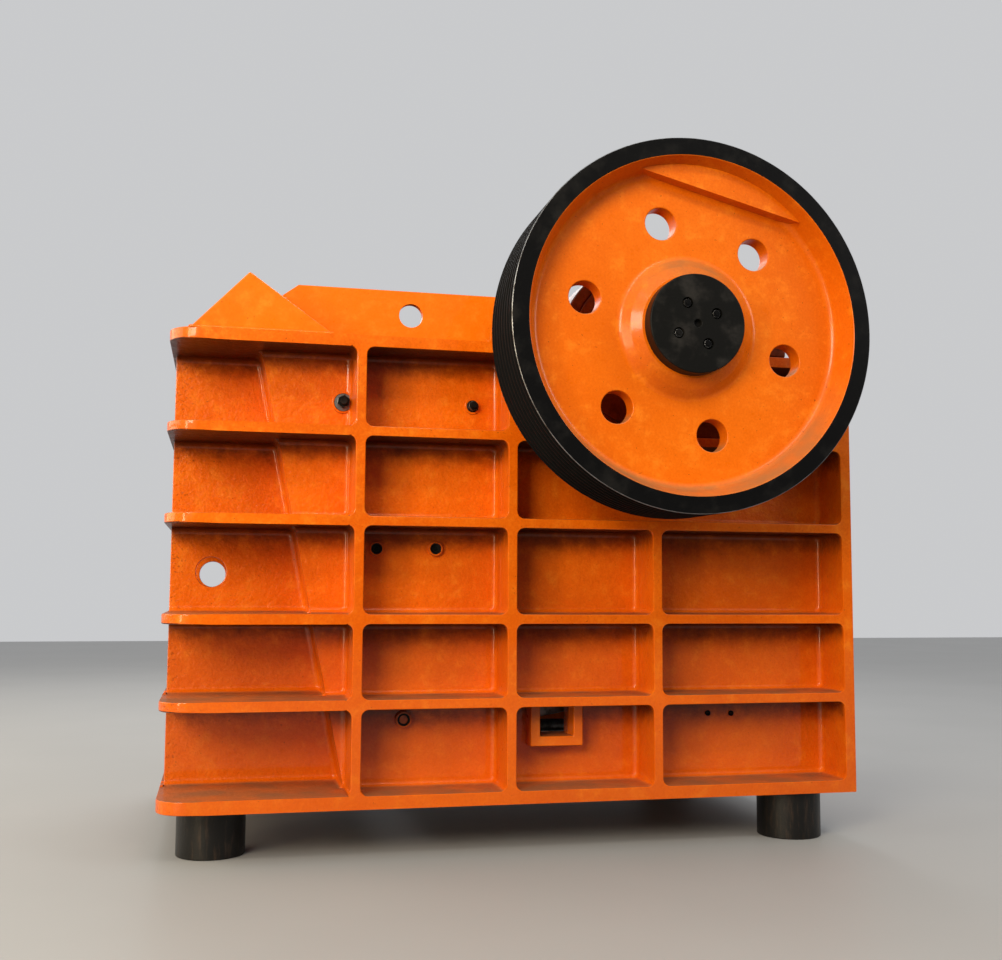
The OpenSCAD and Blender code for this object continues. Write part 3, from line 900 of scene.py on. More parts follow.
@dataclass(frozen=True)
class OiledSteel(Patched):
    """Machined steel under a film of oil, stained dull where the oil has dried."""

    name: str = "oiled_machined_steel"
    main: str = "#8C8D8F"
    other: str = "#4F4A45"
    patches: Corner = (55.0, 4.0, 0.65)
    patch_share: Flat = (0.4, 0.7)
    relief: Corner = (4.0, 2.0, 0.6)
    relief_deep: float = 0.0004
    bump: float = 0.4
    roughness: float = 0.34
    rougher: float = 0.2
    metallic: float = 0.9


@dataclass(frozen=True)
class ManganeseSteel(Patched):
    """Manganese steel as cast in sand: dark, rough, with brown rust in its hollows."""

    name: str = "sand_cast_manganese_steel"
    main: str = "#3B3633"
    other: str = "#6A4632"
    patches: Corner = (70.0, 5.0, 0.65)
    patch_share: Flat = (0.42, 0.66)
    relief: Corner = (9.0, 4.0, 0.65)
    relief_deep: float = 0.002
    bump: float = 0.7
    roughness: float = 0.62
    metallic: float = 0.35


@dataclass(frozen=True)
class MillScale(Patched):
    """Hot-rolled bar under dark mill scale, rubbed brown in streaks that run up and down."""

    name: str = "dark_mill_scale"
    main: str = "#0C0A08"
    other: str = "#33261C"
    patches: Corner = (14.0, 4.0, 0.65)
    patch_share: Flat = (0.48, 0.72)
    relief: Corner = (8.0, 4.0, 0.6)
    relief_deep: float = 0.001
    bump: float = 0.6
    roughness: float = 0.42
    metallic: float = 0.3
    tall: float = 0.15


class Finishes:
    """The object's materials, each made once."""

    def __init__(self) -> None:
        """Makes the materials."""
        # The frame's castings get painted shade under their five shelves.
        self.casting = OrangeEnamel(shelf_shade_tops=(0.437, 0.688, 0.981, 1.251, 1.522)).build()
        # Rolled plate has no cast skin: the same enamel lies flat on it and looks brighter.
        self.rolled = OrangeEnamel(
            "orange_enamel_on_plate", paint="#F67806", deep="#EC6C04", skin=0.4
        ).build()
        # The wheels are smoother and duller than the frame, with dust also on what only leans upwards,
        # and a little painted shade on faces that look down.
        self.wheel = OrangeEnamel(
            "orange_enamel_on_wheel", paint="#EC7006", deep="#E06604", skin=0.8, dust="#9A6C40",
            dust_from=0.15, dust_all=0.75, dust_least=0.35, gloss=0.35, gloss_rough=0.15, underside_shade_most=0.2,
        ).build()
        # Painted shade: the bearings lie in the wheels' shadow, so the enamel round them is made dark brown.
        self.shaded_enamel = OrangeEnamel(
            "orange_enamel_under_grease", paint="#7C3405", deep="#3A1804", pale="#9A4A0C", low="#301406",
            roughness=0.4,
        ).build()
        self.black = BlackEnamel().build()
        # The belts' grooves hold dust and don't shine.
        self.dry = BlackEnamel("dry_black_enamel_in_grooves", other="#121212", roughness=0.75).build()
        self.cap = BlackEnamel("black_enamel_on_cap", main="#131312", other="#2C2A28").build()
        self.steel = OiledSteel().build()
        self.jaw = ManganeseSteel().build()
        self.block = MillScale().build()


# Camera, floor and lamps


@dataclass(frozen=True)
class Photograph:
    """The reference photograph's frame and the view worked out from the object's rib grid."""

    width: int = 1002
    focal_px: float = 1191.0
    turn: float = math.radians(13.17)
    pitch: float = math.radians(5.19)
    roll: float = math.radians(0.32)
    eye: Point = (-0.9236, -4.2411, 0.797)


@dataclass(frozen=True)
class Lamp:
    """A soft flat lamp: its place, the point that it faces, its width and height, its power and tint."""

    name: str
    at: Point
    aim: Point
    size: Flat
    watts: float
    tint: str = "#FFFFFF"

    def hang(self) -> None:
        """Adds the lamp to the scene."""
        data = bpy.data.lights.new(self.name, "AREA")
        data.shape = "RECTANGLE"
        data.size, data.size_y = self.size
        data.energy = self.watts
        data.color = rgb(self.tint)[:3]
        lamp = bpy.data.objects.new(self.name, data)
        bpy.context.scene.collection.objects.link(lamp)
        lamp.location = self.at
        lamp.rotation_euler = (Vector(self.aim) - Vector(self.at)).to_track_quat("-Z", "Y").to_euler()


@dataclass
class Studio:
    """A pale floor and backdrop, soft lamps, and the camera at the photograph's view."""

    photograph: Photograph = field(default_factory=Photograph)
    sensor_mm: float = 36.0
    floor_half: float = 14.0
    floor_t: float = 0.02
    floor_tones: tuple[str, str] = ("#9C9C9B", "#A5A5A4")
    floor_bounce: str = "#504E4C"
    sky: str = "#E9EAEC"
    low_to: float = 0.05
    high_from: float = 0.75
    low_sky: float = 0.05
    high_sky: float = 0.95
    backdrop: float = 0.72
    behind: Flat = (-0.1, 0.5)
    lamps: tuple[Lamp, ...] = (
        Lamp("key", (-3.9, -6.1, 3.5), (-0.3, -0.4, 1.4), (2.2, 2.2), 280.0, "#FFF3DE"),
        Lamp("ceiling", (-0.6, -5.2, 5.7), (-0.2, -0.5, 1.0), (4.0, 0.9), 120.0, "#FFF3DE"),
        Lamp("strip", (-5.0, -4.8, 1.7), (-0.5, -0.4, 1.2), (0.8, 3.0), 130.0, "#FFE6B8"),
        Lamp("left", (-6.0, 0.8, 3.0), (-1.0, 0.0, 1.3), (7.0, 2.0), 175.0, "#FFF0D2"),
        Lamp("window", (-6.4, 1.0, 1.4), (-1.0, 0.0, 1.2), (5.0, 0.9), 65.0, "#FFF0D2"),
        Lamp("fill", (4.8, -4.2, 3.6), (0.6, -0.3, 1.1), (2.0, 2.0), 60.0),
        Lamp("back", (0.5, 5.0, 5.0), (0.0, 0.0, 1.0), (4.0, 4.0), 150.0),
    )

    def camera(self) -> None:
        """Places the camera."""
        photo = self.photograph
        data = bpy.data.cameras.new("camera")
        data.sensor_fit = "HORIZONTAL"
        data.sensor_width = self.sensor_mm
        data.lens = photo.focal_px / photo.width * self.sensor_mm
        data.clip_end = 100.0
        eye = bpy.data.objects.new("camera", data)
        bpy.context.scene.collection.objects.link(eye)
        turn = Matrix.Rotation(-photo.turn, 4, "Z")
        pitch = Matrix.Rotation(math.pi / 2 + photo.pitch, 4, "X")
        roll = Matrix.Rotation(photo.roll, 4, "Z")
        eye.matrix_world = Matrix.Translation(photo.eye) @ turn @ pitch @ roll
        bpy.context.scene.camera = eye

    def floor(self) -> None:
        """Lays the floor, which lights the machine from below less than its pale colour would."""
        half = self.floor_half
        floor = box("floor", (-half, -half, -self.floor_t), (half, half, 0.0))
        r = Recipe("pale_floor")
        patch = r.add(Kind.NOISE, {"Vector": r.place, "Scale": lumps(900), "Detail": 3.0})
        dark, light = (rgb(tone) for tone in self.floor_tones)
        colour = r.add(Kind.MIX, {0: patch, 6: dark, 7: light}, out=2, data_type="RGBA")
        seen = r.add(Kind.RAY, {}, out="Is Camera Ray")
        rays = seen.node.outputs
        seen = r.add(Kind.SUM, {0: seen, 1: rays["Is Glossy Ray"]})
        seen = r.add(Kind.SUM, {0: seen, 1: rays["Is Transmission Ray"]}, use_clamp=True)
        colour = r.add(Kind.MIX, {0: seen, 6: rgb(self.floor_bounce), 7: colour}, out=2, data_type="RGBA")
        dress(floor, r.finish(Base_Color=colour, Roughness=0.55))

    def world(self) -> None:
        """Sets a sky that is bright overhead, and a pale backdrop that metal shows behind the machine."""
        world = bpy.data.worlds.new("studio")
        g = Graph(world)
        way = g.add(Kind.SPLIT, {0: g.add(Kind.PLACE, {}, out="Generated")}, out="Z")
        high = {0: way, 1: self.low_to, 2: self.high_from, 3: self.low_sky, 4: self.high_sky}
        sky = g.add(Kind.RANGE, high, interpolation_type="SMOOTHSTEP")
        behind = g.add(Kind.RANGE, {0: way.node.outputs["Y"], 1: self.behind[0], 2: self.behind[1]})
        camera = g.add(Kind.RAY, {}, out="Is Camera Ray")
        rays = camera.node.outputs
        shine = g.add(Kind.SUM, {0: rays["Is Glossy Ray"], 1: rays["Is Transmission Ray"]})
        mirror = g.add(Kind.SUM, {0: shine, 1: behind}, operation="MULTIPLY")
        shown = g.add(Kind.SUM, {0: camera, 1: mirror}, use_clamp=True)
        strength = g.add(Kind.RANGE, {0: shown, 3: sky, 4: self.backdrop})
        g.add(Kind.WORLD, {"Surface": g.add(Kind.SKY, {"Color": rgb(self.sky), "Strength": strength})})
        bpy.context.scene.world = world

    def build(self) -> None:
        """Sets up the studio."""
        bpy.context.scene.view_settings.view_transform = "Standard"
        self.camera()
        self.world()
        self.floor()
        for lamp in self.lamps:
            lamp.hang()


# Frame


@dataclass(frozen=True)
class FrameSizes:
    """Sizes that the frame's castings share, as on the drawing."""

    length: float = 2.180
    half_width: float = 0.695
    height: float = 1.407
    pocket_depth: float = 0.155
    wall: float = 0.055
    front_wall: float = 0.065
    front_wall_x: float = 0.265
    front_lean: float = math.radians(11.6)
    back_depth: float = 0.150
    rib: float = 0.030
    base: float = 0.039
    deck: float = 0.035
    corner: float = 0.036
    shelves: tuple[float, ...] = (0.287, 0.538, 0.831, 1.101)
    uprights: tuple[float, ...] = (0.550, 1.020, 1.490)
    short_rows: int = 3
    axis_x: float = 1.478
    axis_z: float = 1.406
    mouth_round: float = 0.022
    foot_round: float = 0.019
    edge_round: float = 0.004
    over: float = 0.060

    @property
    def wall_out(self) -> float:
        """Outer face of the side walls, from the middle."""
        return self.half_width - self.pocket_depth

    @property
    def wall_in(self) -> float:
        """Inner face of the side walls, from the middle."""
        return self.wall_out - self.wall

    @property
    def rows(self) -> list[Flat]:
        """Floor and top of each row of pockets."""
        floors = (self.base, *(z + self.rib for z in self.shelves))
        return list(zip(floors, (*self.shelves, self.height - self.deck)))

    def front_x(self, z: float) -> float:
        """The front wall's outer face at a height."""
        return self.front_wall_x + (self.height - z) * math.tan(self.front_lean)

    def front_in_x(self, z: float) -> float:
        """The front wall's inner face at a height."""
        return self.front_x(z) + self.front_wall / math.cos(self.front_lean)


@dataclass
class Casting:
    """What the frame's castings and the other groups have in common."""

    datum: Datum
    finishes: Finishes
    sizes: FrameSizes = field(default_factory=FrameSizes)

    def at_front(self, p: Vector) -> bool:
        """Whether a point lies on the front wall's outer face."""
        s = self.sizes
        return abs(p.x - self.datum.front_x - s.front_x(p.z - self.datum.base_z)) < NEARLY

    def on_front(self, a: Vector, b: Vector, angle: float) -> bool:
        """Whether an edge is a fold that lies in the front wall's outer face."""
        return angle > FOLDED and self.at_front(a) and self.at_front(b)

    def off_front(self, a: Vector, b: Vector, angle: float) -> bool:
        """Whether an edge is sharp and stays clear of the front wall's outer face."""
        return angle > SHARP and not (self.at_front(a) or self.at_front(b))

    def slab(self, left: Reach, right: Reach, low: float, high: float) -> list[Flat]:
        """Outlines a slab whose left and right faces may lean.

        Args:
            left: The left face's x at a height.
            right: The right face's x at a height.
            low: Height of the slab's underside.
            high: Height of its top.

        Returns:
            The outline's corners as (x, z).
        """
        corners = ((left(low), low), (right(low), low), (right(high), high), (left(high), high))
        return [self.datum.at(x, 0, z)[::2] for x, z in corners]

    def give(self, piece: Piece, finish: Material, slot: Slot, *nodes: str, body: Body = Body.FRAME) -> None:
        """Shades, dresses and hands over a piece.

        Args:
            piece: The piece.
            finish: Its material.
            slot: The record's slot that the material belongs to.
            *nodes: CAD nodes that the piece stands for.
            body: The body that it rides on.
        """
        hand_over(dress(smooth(piece), finish), body, slot, nodes)

    def pocket(self, low: Point, high: Point, axis: int, foot: float) -> Piece:
        """Makes the solid that cuts one pocket, with round corners and a fillet at its foot.

        Args:
            low: Lowest corner.
            high: Highest corner.
            axis: The direction in which the pocket goes in, 0 for x and 1 for y.
            foot: The pocket floor's place along that axis.

        Returns:
            The cutting solid.
        """
        tool = box("pocket", low, high)

        def inwards(a: Vector, b: Vector, angle: float) -> bool:
            """Whether an edge goes into the pocket."""
            return abs((a - b)[axis]) > CLOSE

        def at_foot(a: Vector, b: Vector, angle: float) -> bool:
            """Whether an edge goes round the pocket's floor."""
            return abs(a[axis] - foot) < CLOSE and abs(b[axis] - foot) < CLOSE and angle > FOLDED

        round_edges(tool, inwards, self.sizes.mouth_round, 5)
        return round_edges(tool, at_foot, self.sizes.foot_round, 4)


@dataclass
class SideCasting(Casting):
    """One side of the frame: the wall with its pockets, shelves and uprights."""

    window_x: float = 1.203
    window_z: float = 0.187
    window: Flat = (0.108, 0.100)
    window_past: float = 0.01
    shaft_gap: float = 0.150
    saddle_half: float = 0.310
    front_edge_round: float = 0.018

    def pockets(self) -> list[Piece]:
        """Makes one cutting solid for each pocket, the first column's open to the front.

        Returns:
            The cutting solids.
        """
        s = self.sizes
        tools = []
        for row, (z0, z1) in enumerate(s.rows):
            posts = list(s.uprights if row < s.short_rows else s.uprights[:2])
            starts = [0.0] + [x + s.rib for x in posts]
            ends = posts + [s.length - s.corner]
            for x0, x1 in zip(starts, ends):
                low = self.datum.at(x0, s.wall_out, z0)
                high = self.datum.at(x1, s.half_width + s.over, z1)
                tools.append(self.pocket(low, high, 1, s.wall_out))
        return tools

    def build(self) -> Piece:
        """Builds the far side's casting.

        Returns:
            The casting.
        """
        s = self.sizes
        outline = self.slab(s.front_x, lambda z: s.length, 0, s.height)
        piece = plate("far_side_casting", outline, s.wall_in, s.half_width)
        carve(piece, self.pockets())
        low = self.datum.at(s.axis_x - self.saddle_half, s.wall_out, s.shelves[-1] + s.rib)
        high = self.datum.at(s.axis_x + self.saddle_half, s.half_width + s.over, s.height + s.over)
        carve(piece, [box("saddle_gap", low, high)])
        ends = [self.datum.at(s.axis_x, y, s.axis_z) for y in (s.wall_in - s.over, s.half_width)]
        shaft = rod("shaft_gap", *ends, self.shaft_gap, 96)
        half = self.window[0] / 2
        top = self.window_z + self.window[1]
        low = self.datum.at(self.window_x - half, s.wall_in - s.over, self.window_z)
        high = self.datum.at(self.window_x + half, s.wall_out + self.window_past, top)
        carve(piece, [shaft, box("window", low, high)])

        def front_edge(a: Vector, b: Vector, angle: float) -> bool:
            """Whether an edge is where the side wall's face meets the front wall's."""
            on_wall = max(abs(a.y - s.wall_out), abs(b.y - s.wall_out)) < NEARLY
            return angle > SHARP and on_wall and self.on_front(a, b, angle)

        round_edges(piece, front_edge, self.front_edge_round, 3)
        round_edges(piece, self.off_front, s.edge_round, 2)
        return dress(smooth(piece), self.finishes.casting)


@dataclass
class FrontCasting(Casting):
    """The front: leaning wall, shelves turned round both corners, and two uprights."""

    corner_r: float = 0.090
    upright_y: float = 0.380
    upright_in: float = 0.012
    tie_hole: Flat = (0.136, 0.693)
    tie_hole_r: float = 0.047
    long_edge: float = 0.1
    bay_past: float = 0.05
    end_past: float = 0.03
    step_gap: float = 0.002

    def block(self) -> Piece:
        """Builds the whole front before its bays are cut.

        Returns:
            The front.
        """
        s = self.sizes
        x = self.datum.front_x
        outline = self.slab(lambda z: 0.0, s.front_x, 0, s.height)
        piece = plate("front_casting", outline, -s.half_width, s.half_width)

        def front_corner(a: Vector, b: Vector, angle: float) -> bool:
            """Whether an edge stands at the front."""
            return max(abs(a.x - x), abs(b.x - x)) < CLOSE and abs(a.z - b.z) > self.long_edge

        round_edges(piece, front_corner, self.corner_r, 10)
        outline = self.slab(lambda z: s.front_x(z) - s.over, s.front_in_x, 0, s.height)
        return carve(piece, [plate("front_wall", outline, -s.wall_in, s.wall_in)], "UNION")

    def bay(self, row: int, y0: float, y1: float, past: float = 0.0) -> Piece:
        """Makes the solid that cuts one bay, its back leaning with the front wall.

        Args:
            row: Number of the row, from the base.
            y0: One side of the bay.
            y1: The other side.
            past: How far it goes past the wall's face, where it has no fillet.

        Returns:
            The cutting solid.
        """
        s = self.sizes
        outline = self.slab(lambda z: -s.over, lambda z: s.front_x(z) + past, *s.rows[row])
        tool = plate("bay", outline, y0, y1)
        if past:
            return tool

        def inwards(a: Vector, b: Vector, angle: float) -> bool:
            """Whether an edge goes into the bay."""
            return abs(a.x - b.x) > self.long_edge and abs(a.z - b.z) < CLOSE

        round_edges(tool, inwards, s.mouth_round, 5)
        return round_edges(tool, self.on_front, s.foot_round, 4)

    def build(self) -> Piece:
        """Builds the front casting.

        Returns:
            The casting.
        """
        s = self.sizes
        piece = self.block()
        inner = self.upright_y - s.rib
        side_end = s.wall_out + self.bay_past
        outer = s.half_width + s.over
        half = s.rib / 2 + s.mouth_round + self.step_gap
        bays = []
        ends = []
        steps = []
        for row, (z0, z1) in enumerate(s.rows):
            bays.append(self.bay(row, -inner, inner))
            for side in (-1, 1):
                bays.append(self.bay(row, *sorted((side * self.upright_y, side * side_end))))
                ends.append(self.bay(row, *sorted((side * s.wall_out, side * outer)), past=self.end_past))
                y = side * (self.upright_y - s.rib / 2)
                low = self.datum.at(-s.over, y - half, z0)
                steps.append(box("upright_step", low, self.datum.at(self.upright_in, y + half, z1)))
        for tools in (ends, bays, steps):
            carve(piece, tools)
        reach = self.upright_y + s.over
        hole = [self.datum.at(self.tie_hole[0], y, self.tie_hole[1]) for y in (-reach, reach)]
        carve(piece, [rod("tie_hole", *hole, self.tie_hole_r)])
        round_edges(piece, self.off_front, s.edge_round, 2)
        return dress(smooth(piece), self.finishes.casting)


@dataclass
class BackCasting(Casting):
    """The back: wall, shelves and two rows of uprights, open above the fourth shelf."""

    upright_y: float = 0.160
    rod_y: float = 0.280
    rod_z: float = 0.120
    rod_gap_r: float = 0.030

    def build(self) -> Piece:
        """Builds the back casting.

        Returns:
            The casting.
        """
        s = self.sizes
        wall_x = s.length - s.back_depth
        top = s.shelves[-1] + s.rib
        low = self.datum.at(wall_x - s.wall, -s.wall_in, 0)
        piece = box("back_casting", low, self.datum.at(s.length, s.wall_in, top))
        posts = [-s.wall_in - s.rib / 2, -self.upright_y, self.upright_y, s.wall_in + s.rib / 2]
        tools = []
        for z0, z1 in s.rows[:-1]:
            for y0, y1 in zip(posts, posts[1:]):
                low = self.datum.at(wall_x, y0 + s.rib / 2, z0)
                high = self.datum.at(s.length + s.over, y1 - s.rib / 2, z1)
                tools.append(self.pocket(low, high, 0, wall_x))
        carve(piece, tools)
        for y in (-self.rod_y, self.rod_y):
            ends = [self.datum.at(x, y, self.rod_z) for x in (wall_x - s.wall - s.over, wall_x + s.over)]
            carve(piece, [rod("rod_gap", *ends, self.rod_gap_r)])
        at_sides = s.wall_in - CLOSE

        def sharp(a: Vector, b: Vector, angle: float) -> bool:
            """Whether an edge is sharp and stays clear of the side walls."""
            return angle > SHARP and not (abs(a.y) > at_sides or abs(b.y) > at_sides)

        round_edges(piece, sharp, s.edge_round, 2)
        return dress(smooth(piece), self.finishes.casting)


@dataclass
class Frame(Casting):
    """All of the ribbed frame."""

    def build(self) -> None:
        """Builds the castings and puts them in the CAD pieces' place."""
        far = SideCasting(self.datum, self.finishes).build()
        near = smooth(mirrored(far, "near_side_casting"))
        front = FrontCasting(self.datum, self.finishes).build()
        back = BackCasting(self.datum, self.finishes).build()
        for word, wall, piece in (
            ("far", "side_wall", far), ("near", "side_wall", near),
            ("front", "wall", front), ("back", "wall", back),
        ):
            nodes = [f"{word}_{kind}" for kind in (wall, "shelf_ribs", "upright_ribs")]
            hand_over(piece, Body.FRAME, Slot.ORANGE, nodes)


# Small parts


@dataclass(frozen=True)
class HexNut:
    """A hexagon nut on its washer, with the stud's threaded end standing out."""

    across: float = 0.046
    height: float = 0.026
    edge: float = 0.002
    dome: tuple[float, ...] = (1.2, 0.86, 0.2)
    washer_r: float = 0.034
    washer_t: float = 0.005
    washer_edge: float = 0.001
    stud_r: float = 0.015
    stud_out: float = 0.014
    stud_in: float = 0.001
    pitch: float = 0.003
    root: float = 0.9
    point: float = 0.86

    def nut(self) -> Piece:
        """Makes the hexagon with its corners turned off.

        Returns:
            The nut, standing on its washer's place.
        """
        corner = self.across / math.sqrt(3)
        low = self.washer_t
        top = low + self.height
        wide, flat, drop = (corner * share for share in self.dome)
        nut = spun("nut", [(0, low), (corner, low), (corner, top), (0, top)], ORIGIN, UP, 6)
        dome = [(0, 0), (wide, 0), (wide, top - drop), (flat, top), (0, top)]
        carve(nut, [spun("dome", dome, ORIGIN, UP, 48)], "INTERSECT")
        return soften(nut, self.edge, 2, 25.0)

    def build(self, name: str, at: Point, along: Sequence[float], turn: float = 0.0) -> Piece:
        """Builds the fastener.

        Args:
            name: Name of the piece.
            at: Point on the surface that it stands on.
            along: Direction away from that surface.
            turn: Turn of the hexagon in radians.

        Returns:
            The nut, washer and stud in one piece.
        """
        nut = self.nut()
        out, thick, edge = self.washer_r, self.washer_t, self.washer_edge
        washer = rounded([(0, 0, 0), (out, 0, edge), (out, thick, edge), (0, thick, 0)], 2)
        washer = spun("washer", washer, ORIGIN, UP, 40)
        top = self.washer_t + self.height
        z = top - self.stud_in
        thread = [(0.0, z)]
        while z < top + self.stud_out:
            thread += [(self.stud_r * self.root, z), (self.stud_r, z + self.pitch / 2)]
            z += self.pitch
        thread += [(self.stud_r * self.point, z), (0.0, z)]
        piece = join([nut, washer, spun("stud", thread, ORIGIN, UP, 24)], name)
        piece.data.transform(aimed(at, along) @ Matrix.Rotation(turn, 4, "Z"))
        return piece


@dataclass(frozen=True)
class RoundHead:
    """A round bolt end sunk in a raised ring."""

    radius: float = 0.023
    ring: float = 0.006
    height: float = 0.012
    sink: float = 0.007
    socket_r: float = 0.009
    socket_deep: float = 0.003
    ring_edge: float = 0.002
    slope: float = 0.002
    floor_edge: float = 0.001

    def build(self, name: str, at: Point, along: Sequence[float]) -> Piece:
        """Builds the bolt end.

        Args:
            name: Name of the piece.
            at: Point on the surface that it stands on.
            along: Direction away from that surface.

        Returns:
            The bolt end.
        """
        inner = self.radius - self.ring
        floor = self.height - self.sink
        deep = floor - self.socket_deep
        profile = rounded([
            (0, 0, 0), (self.radius, 0, 0), (self.radius, self.height, self.ring_edge),
            (inner, self.height, self.ring_edge), (inner - self.slope, floor, self.floor_edge),
            (self.socket_r, floor, self.floor_edge), (self.socket_r - self.floor_edge, deep, 0),
            (0, deep, 0),
        ], 3)
        return spun(name, profile, at, along, 40)


@dataclass(frozen=True)
class WeldBead:
    """A bead of weld with its ripples, laid by hand."""

    radius: float = 0.006
    ripple: float = 0.007
    valley: float = 0.84
    crest: float = 0.55
    uneven: float = 0.06
    beat: float = 1.7

    def build(self, name: str, start: Point, end: Point) -> Piece:
        """Lays the bead along a line.

        Args:
            name: Name of the piece.
            start: One end.
            end: The other end.

        Returns:
            The bead.
        """
        along = Vector(end) - Vector(start)
        count = max(2, round(along.length / self.ripple))
        step = along.length / count
        low = self.radius * self.valley
        profile: list[Flat] = [(0.0, 0.0)]
        for i in range(count):
            high = self.radius * (1.0 + self.uneven * math.sin(i * self.beat))
            profile += [(low, i * step), (high, (i + self.crest) * step)]
        profile += [(low, along.length), (0.0, along.length)]
        return spun(name, profile, start, along, 8)


@dataclass(frozen=True)
class Coil:
    """A coil spring of round wire."""

    radius: float = 0.043
    wire: float = 0.009
    turns: int = 4
    length: float = 0.088

    def build(self, name: str, start: Point, along: Sequence[float]) -> Piece:
        """Winds the spring.

        Args:
            name: Name of the piece.
            start: Where its wire's middle starts on the axis.
            along: The axis's direction.

        Returns:
            The spring.
        """
        start_clean()
        quarter = (math.pi / 2, 0, 0)
        bpy.ops.mesh.primitive_circle_add(
            vertices=12, radius=self.wire, location=(self.radius, 0, 0), rotation=quarter
        )
        piece = settle(bpy.context.object)
        pitch = (self.length - 2 * self.wire) / self.turns
        turn = {"axis": "Z", "angle": math.tau, "screw_offset": pitch}
        modify(piece, "SCREW", iterations=self.turns, steps=28, render_steps=28, **turn)
        edit(piece)
        bpy.ops.mesh.fill_holes(sides=0)
        face_outwards(piece)
        piece.matrix_world = aimed(start, along)
        return settle(piece, name)


@dataclass
class SideFittings(Casting):
    """Cheek plate bolts, the boss and the plugs on the side walls."""

    nuts: tuple[Flat, ...] = ((0.524, 1.222), (0.937, 1.226))
    nut_sizes: tuple[HexNut, ...] = (
        HexNut(across=0.036, height=0.020, washer_r=0.028, stud_r=0.011),
        HexNut(across=0.028, height=0.016, washer_r=0.019, stud_r=0.009),
    )
    nut_turn: float = 0.4
    nut_shine: Flat = (0.485, 0.51)
    seat_wide: float = 0.007
    seat: RoundHead = RoundHead(height=0.0035, sink=0.002, socket_r=0.010)
    heads: tuple[Flat, ...] = ((0.635, 0.767), (0.821, 0.769))
    head_rim: Flat = (0.0175, 1.0)
    boss_at: Flat = (0.726, 0.242)
    boss: RoundHead = RoundHead(radius=0.026, ring=0.007, height=0.014, sink=0.004, socket_r=0.013)
    # Painted shade: the sunk ring round the boss's socket is black.
    boss_shade_band: Flat = (0.0125, 0.0195)
    plugs: tuple[Flat, ...] = ((1.733, 0.243), (1.814, 0.241))
    plug: RoundHead = RoundHead(radius=0.009, ring=0.002, height=0.004, sink=0.002, socket_r=0.004)

    def bolts(self, side: Side, away: Point) -> None:
        """Builds the nuts, rubbed bright at their corners, with their orange seats; that bare steel is
        partly wear and partly a painted highlight.

        Args:
            side: The side of the machine.
            away: Direction out of the wall.
        """
        for i, ((x, z), nut) in enumerate(zip(self.nuts, self.nut_sizes)):
            at = self.datum.at(x, side.value * self.sizes.wall_out, z)
            piece = smooth(nut.build(f"{side.word}_wall_nut_{i + 1}", at, away, self.nut_turn + i))
            # Bare steel on the hex: rubbed wear and a painted highlight.
            low, high = (nut.across * share for share in self.nut_shine)
            dress_band(piece, at, (low, high), self.finishes.cap, self.finishes.steel)
            hand_over(piece, Body.FRAME, Slot.BLACK)
            seat = replace(self.seat, radius=nut.washer_r + self.seat_wide)
            seat = seat.build(f"{side.word}_nut_seat_{i + 1}", at, away)
            self.give(seat, self.finishes.casting, Slot.ORANGE)

    def build(self) -> None:
        """Builds both sides' fittings."""
        black, orange = self.finishes.cap, self.finishes.casting
        for side in Side:
            y = side.value * self.sizes.wall_out
            away = (0, side.value, 0)
            self.bolts(side, away)
            for i, (x, z) in enumerate(self.heads):
                at = self.datum.at(x, y, z)
                head = smooth(RoundHead().build(f"{side.word}_bolt_end_{i + 1}", at, away))
                hand_over(dress_band(head, at, self.head_rim, black, orange), Body.FRAME, Slot.BLACK)
            for i, (x, z) in enumerate(self.plugs):
                plug = self.plug.build(f"{side.word}_plug_{i + 1}", self.datum.at(x, y, z), away)
                self.give(plug, self.finishes.black, Slot.BLACK)
            at = self.datum.at(self.boss_at[0], y, self.boss_at[1])
            boss = smooth(self.boss.build(f"{side.word}_boss", at, away))
            # Painted shade: the boss's sunk ring round its socket is dressed black.
            hand_over(dress_band(boss, at, self.boss_shade_band, orange, black), Body.FRAME, Slot.ORANGE)


@dataclass
class Feed(Casting):
    """The ridge over the front wall and the plates beside the feed mouth, with their weld beads."""

    edges: tuple[tuple[str, float], ...] = (
        ("feed_ridge", 0.004), ("ridge_end_plates", 0.005),
        ("near_hopper_plate", 0.004), ("far_hopper_plate", 0.004),
    )
    ridge_x: float = 0.060
    ridge_len: float = 0.417
    ridge_end: float = 0.689
    hopper_end: float = 1.320
    bead: WeldBead = WeldBead()

    def build(self) -> None:
        """Dresses the plates and lays their weld beads."""
        for node, radius in self.edges:
            self.give(node_copy(node, radius), self.finishes.rolled, Slot.ORANGE, node)
        z = self.sizes.height
        foot = self.ridge_x + self.ridge_len
        lines = {"ridge_front": ((self.ridge_x, -self.ridge_end, z), (self.ridge_x, self.ridge_end, z))}
        for side in Side:
            end, wall = side.value * self.ridge_end, side.value * self.sizes.wall_out
            lines[f"{side.word}_ridge_foot"] = ((self.ridge_x, end, z), (foot, end, z))
            lines[f"{side.word}_hopper_foot"] = ((foot, wall, z), (self.hopper_end, wall, z))
        for name, (start, end) in lines.items():
            bead = self.bead.build(f"{name}_weld", self.datum.at(*start), self.datum.at(*end))
            hand_over(dress(smooth(bead, 60), self.finishes.rolled), Body.FRAME, Slot.ORANGE)


